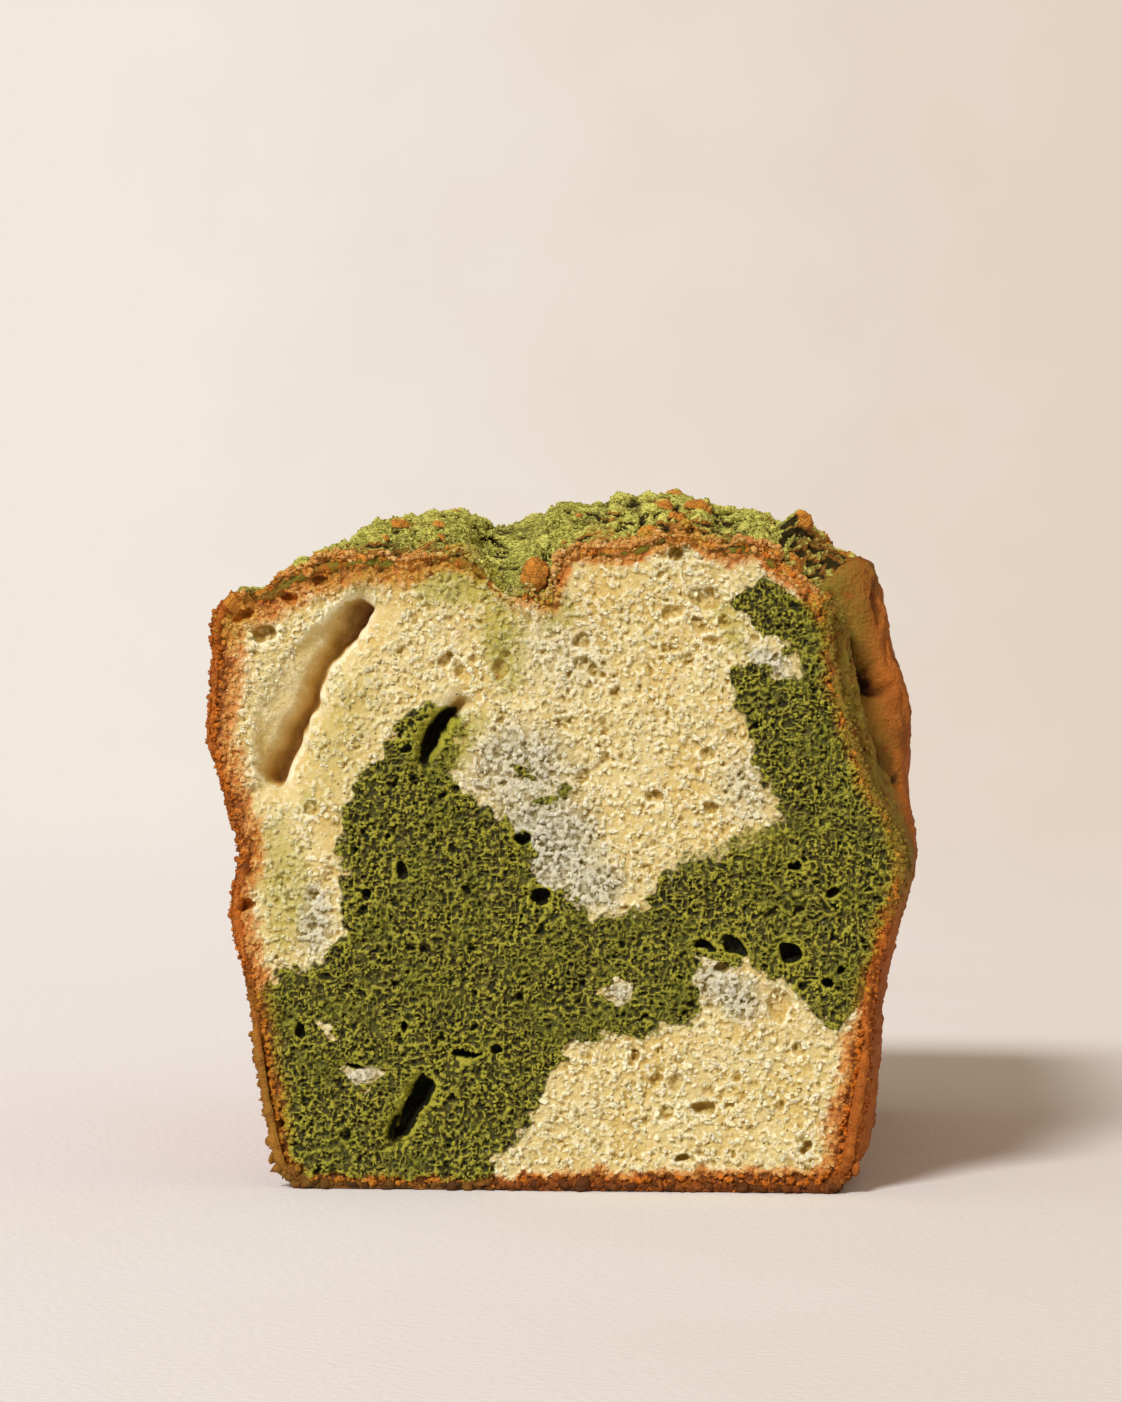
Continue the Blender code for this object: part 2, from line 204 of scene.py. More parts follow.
# Folds torn in the right flank: place behind the knife and up, half sizes, turn, depth.
TORN_FOLDS = (
    ((8.4, 70.0), (1.1, 9.5), 4.0, 1.7),
    ((9.6, 64.8), (1.2, 3.4), 14.0, 2.4),
    ((12.6, 73.6), (1.0, 3.2), -20.0, 0.7),
    ((17.0, 58.0), (1.0, 6.0), 12.0, 0.8),
    ((9.4, 54.0), (1.2, 5.0), 20.0, 0.7),
)

# The photograph's frame in pixels, and the view it was taken from.
FRAME_WIDTH, FRAME_HEIGHT = 1122, 1402
VIEW_AZIMUTH = 4.5
VIEW_ELEVATION = 1.5
VIEW_DISTANCE = 600.0
PIXELS_PER_MM = 8.0
FRAME_MIDDLE_HEIGHT = 61.5
SENSOR = 36.0
LIGHT_FROM = (-0.42, -0.95, 0.85)
KEY_STRENGTH, KEY_ANGLE, KEY_COLOUR = 2.95, 15.0, (255, 251, 246)
ROOM_STRENGTH, ROOM_COLOUR = 0.46, (255, 229, 198)
# The seen backdrop: from where to where its light side turns dark, and its plaster's marks.
BACKDROP_TURN = (-0.115, 0.065)
PLASTER_SCALE, PLASTER_DETAIL, PLASTER_STRENGTH = 38.0, 9.0, 0.09

# Chips of crumb: the largest step between their levels, and their largest slope.
CHIP_STEP, CHIP_SLOPE = 0.6, 0.9
# The deepest that a hollow goes, and half the usual width of the green's blurred border.
DEEPEST_HOLLOW, GREEN_BORDER = 6.2, 0.85
# The crack along the crown: its drift to the left for each millimetre behind the knife, its
# middle, half width and depth, and the same for the ridge beside it.
CRACK_DRIFT = 0.085
CRACK_DIP, CRACK_RIDGE = (-8.0, 3.4, 3.0), (-0.8, 2.6, 1.2)
# How far behind the knife the crown's border is drawn, out of the way of the long hollow.
CROWN_TUCK = 10.0


def paint(red, green, blue):
    """A colour of the screen, 0 to 255, as the linear colour that Blender works in."""
    return tuple(
        (part / 255 / 12.92) if part < 11 else ((part / 255 + 0.055) / 1.055) ** 2.4
        for part in (red, green, blue)
    )


def smooth_step(values, low, high):
    """0 below low, 1 above high, and a smooth rise between them. Low may be the larger."""
    share = np.clip((values - low) / (high - low), 0.0, 1.0)
    return share * share * (3.0 - 2.0 * share)


def chance(cells, seed):
    """A repeatable random number from 0 to 1 for each row of whole numbers."""
    mixed = np.full(len(cells), seed * 2654435761 + 97, np.uint64)
    for axis in range(cells.shape[1]):
        mixed ^= cells[:, axis].astype(np.int64).astype(np.uint64)
        mixed *= np.uint64(0x9E3779B97F4A7C15)
        mixed ^= mixed >> np.uint64(29)
    mixed *= np.uint64(0xBF58476D1CE4E5B9)
    mixed ^= mixed >> np.uint64(32)
    return (mixed & np.uint64(0xFFFFFF)).astype(float) / 0xFFFFFF


def waves(points, size, seed, octaves=1):
    """Smooth noise from about -1 to 1, with swells of the size given."""
    total, weight, scale = 0.0, 1.0, 1.0
    for octave in range(octaves):
        scaled = points * (scale / size)
        whole = np.floor(scaled)
        part = smooth_step(scaled - whole, 0.0, 1.0)
        level = 0.0
        for corner in itertools.product((0, 1), repeat=points.shape[1]):
            share = np.prod(np.where(np.array(corner) == 1, part, 1.0 - part), axis=1)
            level = level + share * chance(whole + corner, seed + octave)
        total = total + weight * (level * 2.0 - 1.0)
        weight, scale = weight * 0.5, scale * 2.0
    return total


def balls(points, size, share, seed, least, most):
    """Height of a bed of balls over its floor, and the number of the ball on top, 0 to 1.

    There is at most one ball for each cell of the size given, and least and most are its radius
    as a share of the cell. Turned upside down, the same bed is a field of round pores.
    """
    home = np.floor(points / size)
    height = np.zeros(len(points))
    number = np.full(len(points), 0.5)
    for step in itertools.product((-1, 0, 1), repeat=points.shape[1]):
        cell = home + step
        apart = 0.0
        for axis in range(points.shape[1]):
            centre = (cell[:, axis] + chance(cell, seed + axis)) * size
            apart = apart + (points[:, axis] - centre) ** 2
        kind = chance(cell, seed + 7)
        radius = size * (least + (most - least) * chance(cell, seed + 8))
        top = np.sqrt(np.clip(np.where(kind < share, radius, 0.0) ** 2 - apart, 0.0, None))
        number = np.where(top > height, kind / share, number)
        height = np.maximum(height, top)
    return height, number


def chips(points, size, seed):
    """Height of a bed of flat chips, each at its own level and slope, and the chip's number."""
    home = np.floor(points / size)
    nearest = np.full(len(points), np.inf)
    height = np.zeros(len(points))
    number = np.zeros(len(points))
    for step in itertools.product((-1, 0, 1), repeat=points.shape[1]):
        cell = home + step
        apart, lean = 0.0, 0.0
        for axis in range(points.shape[1]):
            offset = points[:, axis] - (cell[:, axis] + chance(cell, seed + axis)) * size
            apart = apart + offset**2
            lean = lean + offset * (chance(cell, seed + 4 + axis) - 0.5)
        kind = chance(cell, seed + 9)
        closer = apart < nearest
        nearest = np.where(closer, apart, nearest)
        height = np.where(closer, (kind - 0.5) * size * CHIP_STEP + CHIP_SLOPE * lean, height)
        number = np.where(closer, kind, number)
    return height, number


def threads(points, size, seed, width):
    """Thin winding ridges: 1 along their crests and 0 between them."""
    return np.clip(1.0 - np.abs(waves(points, size, seed)) / width, 0.0, 1.0)


def stirred(points, size, reach, seed):
    """The points pushed about by slow noise, so that round forms lose their roundness."""
    pushes = [waves(points, size, seed + axis) for axis in range(points.shape[1])]
    return points + reach * np.stack(pushes, axis=1)


def oval(points, place, half_size, turn):
    """1 at the middle of a turned oval and 0 at its rim and beyond."""
    angle = math.radians(turn)
    across = points[:, 0] - place[0]
    up = points[:, 1] - place[1]
    along = (across * math.cos(angle) + up * math.sin(angle)) / half_size[0]
    beside = (up * math.cos(angle) - across * math.sin(angle)) / half_size[1]
    return np.clip(1.0 - along**2 - beside**2, 0.0, None)


def inside_by(points, outline):
    """Distance from a closed outline, more than 0 inside it and less than 0 outside."""
    across, up = points[:, 0], points[:, 1]
    nearest = np.full(len(points), np.inf)
    inside = np.zeros(len(points), bool)
    for start, end in zip(outline, (*outline[1:], outline[0])):
        run, rise = end[0] - start[0], end[1] - start[1]
        share = ((across - start[0]) * run + (up - start[1]) * rise) / (run**2 + rise**2)
        share = np.clip(share, 0.0, 1.0)
        apart = (across - start[0] - share * run) ** 2 + (up - start[1] - share * rise) ** 2
        nearest = np.minimum(nearest, apart)
        if rise:
            crosses = (start[1] > up) != (end[1] > up)
            inside ^= crosses & (across < start[0] + run * (up - start[1]) / rise)
    return np.where(inside, 1.0, -1.0) * np.sqrt(nearest)


class Cake:
    """The CAD solid, read as a surface."""

    def __init__(self):
        form = bmesh.new()
        form.from_mesh(frame["nodes"][NODE].data)
        bmesh.ops.remove_doubles(form, verts=form.verts, dist=1e-6)
        self.tree = BVHTree.FromBMesh(form)
        self.outline = self.cut_outline(form)
        form.free()

    def cut_outline(self, form):
        """The outer edge of the knife's face in order, as points across and up."""
        face_points = {vert for vert in form.verts if abs(vert.co.y / MM - KNIFE) < 0.01}
        knife_face = {face for face in form.faces if all(v in face_points for v in face.verts)}
        neighbours = {}
        for edge in form.edges:
            if sum(face in knife_face for face in edge.link_faces) == 1:
                first, second = edge.verts
                neighbours.setdefault(first, []).append(second)
                neighbours.setdefault(second, []).append(first)
        start = min(neighbours, key=lambda vert: (round(vert.co.z, 5), vert.co.x))
        walk, before = [start], None
        while True:
            onward = [vert for vert in neighbours[walk[-1]] if vert is not before]
            before = walk[-1]
            if onward[0] is start or len(walk) > len(neighbours):
                break
            walk.append(onward[0])
        return tuple((vert.co.x / MM, vert.co.z / MM) for vert in walk)

    def reach(self, angle, behind):
        """How far the skin is from the heart line, in a direction, behind the knife."""
        way = Vector((math.cos(angle), 0.0, math.sin(angle)))
        core = Vector((HEART[0], KNIFE + behind, HEART[1])) * MM
        hit = self.tree.ray_cast(core + way * 0.09, -way, 0.09)
        return None if hit[0] is None else (hit[0] - core).length / MM

    def end_behind(self, across, up):
        """How far the baked end is behind the knife, at a place across and up."""
        start = Vector((across, BOX_HIGH[1] + 10.0, up)) * MM
        hit = self.tree.ray_cast(start, Vector((0.0, -1.0, 0.0)), 0.06)
        return None if hit[0] is None else hit[0].y / MM - KNIFE


CAKE = Cake()


def angle_of(across, up):
    """Direction from the heart line to a place, as an angle from +X toward +Z."""
    return math.atan2(up - HEART[1], across - HEART[0])


def outline_angles(start, end, spacing):
    """Angles round the cut from one place on its edge to another, a spacing apart on it.

    The walk goes clockwise as seen from the front, over the crown from left to right.
    """
    points = np.array(CAKE.outline + (CAKE.outline[0],))
    if angle_of(*points[1]) > angle_of(*points[0]):
        points = points[::-1]
    steps = np.hypot(*np.diff(points, axis=0).T)
    places = np.concatenate(((0.0,), np.cumsum(steps)))
    total = places[-1]
    nearest = [places[np.argmin(np.hypot(*(points[:-1] - np.array(p)).T))] for p in (start, end)]
    run = (nearest[1] - nearest[0]) % total or total
    marks = (nearest[0] + np.linspace(0.0, run, max(2, round(run / spacing)) + 1)) % total
    across = np.interp(marks, places, points[:, 0])
    up = np.interp(marks, places, points[:, 1])
    return np.unwrap([angle_of(x, z) for x, z in zip(across, up)])


def softened(values, passes, closed):
    """A grid of values smoothed along both its sides. Closed joins its last column to its first."""
    for _ in range(passes):
        rows = np.pad(values, ((1, 1), (0, 0)), mode="edge")
        values = (rows[:-2] + 2.0 * values + rows[2:]) / 4.0
        columns = np.pad(values, ((0, 0), (1, 1)), mode="wrap" if closed else "edge")
        values = (columns[:, :-2] + 2.0 * values + columns[:, 2:]) / 4.0
    return values


def outward(places, inner):
    """Unit directions off a grid of places, away from the inner point of each."""
    down = np.gradient(places, axis=0)
    along = np.gradient(places, axis=1)
    ways = np.cross(down, along)
    ways /= np.linalg.norm(ways, axis=2, keepdims=True) + 1e-9
    facing = np.sign(np.sum(ways * (places - inner), axis=2, keepdims=True))
    return ways * np.where(facing == 0.0, 1.0, facing)


def deselect():
    """Nothing is selected and no object is being edited."""
    if bpy.context.object and bpy.context.object.mode != "OBJECT":
        bpy.ops.object.mode_set(mode="OBJECT")
    bpy.ops.object.select_all(action="DESELECT")


def flat_grid(name, columns, rows):
    """A grid of faces, one unit across, with so many points a side. Gives the object."""
    deselect()
    bpy.ops.mesh.primitive_grid_add(
        x_subdivisions=columns - 1, y_subdivisions=rows - 1, size=1.0, location=(0.0, 0.0, 0.0)
    )
    made = bpy.context.object
    made.name = made.data.name = name
    return made


def grid_order(made, columns, rows):
    """The place in its grid of each point of a grid or of what is left of one."""
    flat = read_points(made)
    column = np.rint((flat[:, 0] + 0.5) * (columns - 1)).astype(int)
    row = np.rint((flat[:, 1] + 0.5) * (rows - 1)).astype(int)
    return row * columns + column


def read_points(made):
    """An object's points as an array, in the units they are stored in."""
    points = np.empty(len(made.data.vertices) * 3)
    made.data.vertices.foreach_get("co", points)
    return points.reshape(-1, 3)


def write_points(made, points):
    """Puts an object's points where an array in millimetres says."""
    made.data.vertices.foreach_set("co", (points * MM).ravel())
    made.data.update()


def sheet(name, points):
    """A sheet of faces through rows of points. Gives the object and its points' order in them."""
    rows, columns = points.shape[:2]
    made = flat_grid(name, columns, rows)
    order = grid_order(made, columns, rows)
    write_points(made, points.reshape(-1, 3)[order])
    return made, order


def write_values(made, name, values):
    """A named number on each point of a mesh, for its material to read."""
    layer = made.data.attributes.get(name) or made.data.attributes.new(name, "FLOAT", "POINT")
    layer.data.foreach_set("value", np.asarray(values, float))


def cut_away(made, unwanted):
    """Deletes the faces that the array marks."""
    flags = {
        "vertices": np.zeros(len(made.data.vertices), bool),
        "edges": np.zeros(len(made.data.edges), bool),
        "polygons": unwanted,
    }
    for kind, values in flags.items():
        getattr(made.data, kind).foreach_set("select", values)
    bpy.context.tool_settings.mesh_select_mode = (False, False, True)
    bpy.ops.object.mode_set(mode="EDIT")
    bpy.ops.mesh.delete(type="FACE")
    bpy.ops.object.mode_set(mode="OBJECT")


def close_behind(made, tuck):
    """Draws the open border of a sheet back, to where tuck puts its points, and closes it.

    Gives the number of points that the sheet had before.
    """
    count = len(made.data.vertices)
    bpy.context.tool_settings.mesh_select_mode = (False, True, False)
    bpy.ops.object.mode_set(mode="EDIT")
    bpy.ops.mesh.select_all(action="DESELECT")
    bpy.ops.mesh.select_non_manifold(
        extend=False, use_wire=False, use_multi_face=False, use_non_contiguous=False,
        use_verts=False,
    )
    bpy.ops.mesh.extrude_edges_move(TRANSFORM_OT_translate={"value": (0.0, MM, 0.0)})
    bpy.ops.object.mode_set(mode="OBJECT")
    points = read_points(made) / MM
    points[count:] = tuck(points[count:])
    write_points(made, points)
    bpy.ops.object.mode_set(mode="EDIT")
    bpy.ops.mesh.fill(use_beauty=False)
    bpy.ops.mesh.select_all(action="SELECT")
    bpy.ops.mesh.normals_make_consistent(inside=False)
    bpy.ops.object.mode_set(mode="OBJECT")
    return count


def finish_piece(made, slot, finish):
    """Smooth shading, the material, the body that it rides on and the solid it stands for."""
    made.data.shade_smooth()
    made.data.materials.clear()
    made.data.materials.append(finish)
    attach(made, "root")
    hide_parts(NODE)
    return made


def crust_thickness(points):
    """Thickness of the browned skin at places on the cut."""
    weight, total = 1e-6, 2.0e-6
    for place, reach, thickness in CRUST_DEPTHS:
        near = np.exp(-np.sum((points - place) ** 2, axis=1) / reach**2)
        weight = weight + near
        total = total + near * thickness
    return total / weight


def green_share(points):
    """How green the crumb is at places on the cut, 0 to 1."""
    ragged = stirred(stirred(points, 3.6, 0.8, 21), 1.1, 0.9, 23)
    softness = GREEN_BORDER
    for place, half_size, turn, reach in BLURRED_EDGES:
        softness = softness + reach * oval(points, place, half_size, turn)
    share = smooth_step(inside_by(ragged, GREEN_OUTLINE), -softness, softness)
    for place, half_size, turn in VANILLA_FLECKS:
        share = share * (1.0 - smooth_step(oval(ragged, place, half_size, turn), 0.1, 0.6))
    for place, half_size, turn in GREEN_FLECKS:
        share = np.maximum(share, 0.85 * smooth_step(oval(ragged, place, half_size, turn), 0.0, 0.8))
    return share


def patches(points, places):
    """The strongest of several soft patches at each point."""
    ragged = stirred(points, 2.2, 0.8, 31)
    share = np.zeros(len(points))
    for place, half_size, turn, strength in places:
        share = np.maximum(share, strength * smooth_step(oval(ragged, place, half_size, turn), 0, 1))
    return share


def rounded(outline):
    """A closed outline with its corners cut off twice."""
    points = np.array(outline)
    for _ in range(2):
        onward = np.roll(points, -1, axis=0)
        points = np.stack((0.75 * points + 0.25 * onward, 0.25 * points + 0.75 * onward), axis=1)
        points = points.reshape(-1, 2)
    return points


def hollow_depth(points):
    """Depth of the large hollows, the painted shadow under their lips, and how smooth the crumb is, each 0
    to 1.
    """
    depth, dark, calm = np.zeros((3, len(points)))
    for outline, deep, turn, width, middle, side in HOLLOWS:
        near = np.flatnonzero(np.abs(points - middle).max(axis=1) < 20.0)
        ragged = stirred(points[near], 1.6, 0.35, 41)
        inside = inside_by(ragged, rounded(outline))
        angle = math.radians(turn)
        beside = (ragged[:, 0] - middle[0]) * math.sin(angle)
        beside = side * (beside - (ragged[:, 1] - middle[1]) * math.cos(angle))
        share = np.clip(0.5 + beside / width, 0.0, 1.0)
        fall = smooth_step(inside, 0.0, 2.6 - 2.1 * share)
        floor = deep * (0.04 + 0.96 * share**1.3) * fall**0.7
        beyond = smooth_step(beside, 0.0, width * 0.3)
        lip = np.where(inside < 0.0, smooth_step(-inside, 0.75 * width, 0.4) * beyond, 0.0)
        bend = np.clip(1.0 + inside / (0.42 * width), 0.0, 1.0)
        lobe = 0.3 * width * (1.0 - np.sqrt(1.0 - bend**2)) * beyond
        depth[near] = np.maximum(depth[near], floor) + lobe
        # Painted shadow: dark along the deep side of each hollow, under its lip.
        edge_shadow = smooth_step(inside, -0.2, 0.2 + 2.4 * (1.0 - share))
        dark[near] = np.maximum(dark[near], edge_shadow * smooth_step(share, 0.25, 1.0))
        smooth_ramp = smooth_step(inside, 0.1, 0.7) * (0.3 + 0.7 * smooth_step(share, 0.15, 0.6))
        smooth_lip = 0.9 * lip * smooth_step(waves(points[near], 2.2, 43, 2), 0.7, -0.3)
        calm[near] = np.maximum(calm[near], np.maximum(smooth_ramp, smooth_lip))
    return depth, dark, calm


def at_crack(points):
    """1 at the crack in the crown, where powder and stain replace the crust, 0 away from it."""
    return np.exp(-(((points[:, 0] + 8.0) / 6.5) ** 2)) * smooth_step(points[:, 1], 60.0, 68.0)


def baked_share(points, edge):
    """How browned the crumb is at places on the cut, each so far from the cut's edge."""
    thickness = crust_thickness(points)
    baked = np.clip(1.0 - (edge + 0.7 * waves(points, 1.6, 151, 2)) / thickness, 0.0, 1.0)
    baked = np.clip(baked * (1.0 + 0.9 * smooth_step(points[:, 1], 4.5, 1.0)), 0.0, 1.0)
    return baked * (1.0 - 0.75 * at_crack(points))


def crumb_texture(swirled, fine, green, baked):
    """Depth of the crumb's pores, height of its grain, and the number of each place's flake."""
    small, _ = balls(fine, 0.8, 0.6, 81, 0.15, 0.46)
    flakes, tone = chips(fine, 0.56, 91)
    crumbs, _ = balls(fine, 0.5, 0.85, 101, 0.3, 0.55)

    wide, _ = balls(swirled, 3.3, 0.22, 61, 0.10, 0.32)
    middling, _ = balls(swirled, 1.6, 0.45, 71, 0.12, 0.42)
    risen = smooth_step(tone + 0.5 * waves(swirled, 2.2, 111, 2), 0.25, 0.7)
    vanilla_pores = 0.8 * wide + 0.55 * middling + 0.45 * small
    vanilla_grain = 0.2 * risen + (0.4 + 0.6 * risen) * (0.54 * flakes + 0.26 * crumbs)

    tight, _ = balls(stirred(swirled, 0.9, 0.3, 123), 2.3, 0.4, 121, 0.1, 0.34)
    close, _ = balls(fine, 1.0, 0.75, 131, 0.15, 0.44)
    lace = np.maximum(threads(swirled, 0.85, 135, 0.4), threads(fine, 0.5, 137, 0.45))
    green_pores = 1.25 * tight + 1.2 * close + 0.75 * small - 0.3
    green_grain = 0.5 * lace + 0.6 * flakes + 0.4 * crumbs

    pores = vanilla_pores + (green_pores - vanilla_pores) * green
    grain = vanilla_grain + (green_grain - vanilla_grain) * green
    crusty = smooth_step(baked, 0.35, 0.8)
    pores = pores * (1.0 - 0.35 * crusty)
    nuggets, _ = balls(swirled, 1.15, 0.85, 107, 0.28, 0.52)
    grain = grain + (1.0 * nuggets + 0.9 * crumbs + 0.4 * flakes - 0.25 - grain) * crusty
    return pores, grain, tone


def crumb_form(points, edge):
    """The cut crumb at places across and up: depth behind the knife, and what the colours need."""
    green = green_share(points)
    hollow, dark, calm = hollow_depth(points)
    hollow = np.minimum(hollow, DEEPEST_HOLLOW)
    calm = calm * (1.0 - 0.8 * green)
    baked = baked_share(points, edge)
    swirled = stirred(points, 1.6, 0.4, 51)
    pores, grain, tone = crumb_texture(swirled, stirred(points, 0.7, 0.16, 53), green, baked)
    pores = pores * (1.0 - 0.85 * calm)
    grain = grain * (1.0 - 0.85 * calm)
    for place, half_size, turn, deep in PORES:
        pores = np.maximum(pores, deep * np.sqrt(oval(swirled, place, half_size, turn)))
    slow = 0.35 * waves(points, 6.0, 141, 2)
    rounding = 0.9 * np.clip(1.0 - edge / 1.1, 0.0, 1.0) ** 2
    rounding = rounding * (1.0 - 0.85 * smooth_step(points[:, 1], 68.0, 74.0))
    return {
        "depth": 0.5 + hollow + pores - grain + slow + rounding,
        "green": green,
        "pit": smooth_step(pores, 0.15, 1.5),
        # Painted shadow in the large hollows, carried as hollow.
        "hollow": dark,
        "calm": calm,
        "tone": tone,
        "baked": baked,
        "moss": patches(points, MOSSY_PATCHES),
        "cool": patches(points, COOL_PATCHES),
    }


def blurred(grid, reach):
    """A grid of numbers averaged over a square window that reaches so many steps each way."""
    for axis in (0, 1):
        margins = [(reach + 1, reach) if side == axis else (0, 0) for side in (0, 1)]
        wide = np.pad(grid, margins, mode="edge")
        total = np.cumsum(wide, axis=axis)
        lead = np.take(total, np.arange(2 * reach + 1, total.shape[axis]), axis=axis)
        trail = np.take(total, np.arange(0, total.shape[axis] - 2 * reach - 1), axis=axis)
        grid = (lead - trail) / (2 * reach + 1)
    return grid


def above_mean(height, reach):
    """How far each place of a grid of heights is above the mean of those round it."""
    return height - blurred(blurred(height, reach), reach)


def exposure(height, spacing):
    """How far each place of a grid of heights stands out of its neighbourhood, 0 to 1."""
    # The materials paint this, as lit, into colour: lighter where it is high, darker where it is low.
    near, wide = (above_mean(height, round(reach / spacing)) for reach in (0.3, 0.8))
    return np.clip(0.5 + 0.55 * near + 0.4 * wide, 0.0, 1.0)


# The pieces of the cut crumb and their slots, by the number of their region.
CRUMB_PIECES = (
    ("vanilla_left", "vanilla_crumb"), ("vanilla_crumb", "vanilla_crumb"),
    ("vanilla_wedge", "vanilla_crumb"), ("green_crumb", "green_crumb"),
    ("green_flank", "green_crumb"),
)
# lit is painted light and shade from the relief, hollow is painted shadow in the large hollows, and pit is
# the pores' depth, painted as shade.
CRUMB_VALUES = ("green", "pit", "hollow", "calm", "tone", "baked", "moss", "cool", "lit")


class Link:
    """A node's output. Sums of links, and of links and numbers, add the Math nodes they need."""

    def __init__(self, nodes, socket):
        self.nodes = nodes
        self.socket = socket

    def math(self, operation, first, second):
        """A Math node on two values."""
        return self.nodes.add("ShaderNodeMath", 0, {0: first, 1: second}, operation=operation)

    def __add__(self, other):
        return self.math("ADD", self, other)

    __radd__ = __add__

    def __sub__(self, other):
        return self.math("SUBTRACT", self, other)

    def __rsub__(self, other):
        return self.math("SUBTRACT", other, self)

    def __mul__(self, other):
        return self.math("MULTIPLY", self, other)

    __rmul__ = __mul__

    def magnitude(self):
        """The value without its sign."""
        return self.math("ABSOLUTE", self, 0.0)

    def rise(self, low, high):
        """0 below low, 1 above high, and a smooth rise between them."""
        ends = {"Value": self, "From Min": low, "From Max": high}
        return self.nodes.add("ShaderNodeMapRange", 0, ends, interpolation_type="SMOOTHSTEP")


class Nodes:
    """The nodes of a material or of the world. Each node that is added gives back a Link."""

    def __init__(self, owner):
        owner.use_nodes = True
        self.tree = owner.node_tree

    def add(self, kind, output, values=None, **settings):
        """A node of a kind: its settings first, then the values or links of its sockets."""
        node = self.tree.nodes.new(kind)
        for name, value in settings.items():
            setattr(node, name, value)
        for name, value in (values or {}).items():
            self.feed(node.inputs[name], value)
        return Link(self, node.outputs[output])

    def feed(self, socket, value):
        """A link, a number, or a colour without its alpha, into a socket."""
        if isinstance(value, Link):
            self.tree.links.new(value.socket, socket)
        elif socket.type == "RGBA":
            socket.default_value = (*tuple(value)[:3], 1.0)
        else:
            socket.default_value = value

    def mix(self, share, first, second):
        """One colour turning into another."""
        return self.add("ShaderNodeMix", 2, {0: share, 6: first, 7: second}, data_type="RGBA")


class Finish(Nodes):
    """A material under construction."""

    def __init__(self, name, roughness, specular):
        self.material = bpy.data.materials.new(name)
        super().__init__(self.material)
        self.shader = self.tree.nodes["Principled BSDF"]
        self.set("Roughness", roughness)
        self.set("Specular IOR Level", specular)
        self.place = self.add("ShaderNodeTexCoord", "Object")

    def set(self, name, value):
        """A value or a link on the shader itself."""
        self.feed(self.shader.inputs[name], value)

    def value(self, name):
        """A number that the mesh carries."""
        return self.add("ShaderNodeAttribute", "Fac", attribute_name=name)

    def noise(self, size, detail=3.0, stretch=None):
        """Cloudy noise with swells of a size in millimetres, in coordinates scaled on each axis."""
        place = self.place
        if stretch:
            place = self.add("ShaderNodeMapping", 0, {"Vector": place, "Scale": stretch})
        values = {"Vector": place, "Scale": 1.0 / (size * MM), "Detail": detail}
        return self.add("ShaderNodeTexNoise", 0, values)

    def cells(self, size):
        """Distance from the middles of packed cells of a size in millimetres."""
        values = {"Vector": self.place, "Scale": 1.0 / (size * MM)}
        return self.add("ShaderNodeTexVoronoi", "Distance", values)

    def bump(self, height, depth, strength):
        """Fine relief of a depth in millimetres."""
        values = {"Height": height, "Distance": depth * MM, "Strength": strength}
        return self.add("ShaderNodeBump", 0, values)

    def glow(self, weight, reach, colour):
        """Light that soaks in and comes out nearby, as in moist crumb."""
        self.set("Subsurface Weight", weight)
        self.set("Subsurface Scale", reach * MM)
        self.set("Subsurface Radius", colour)


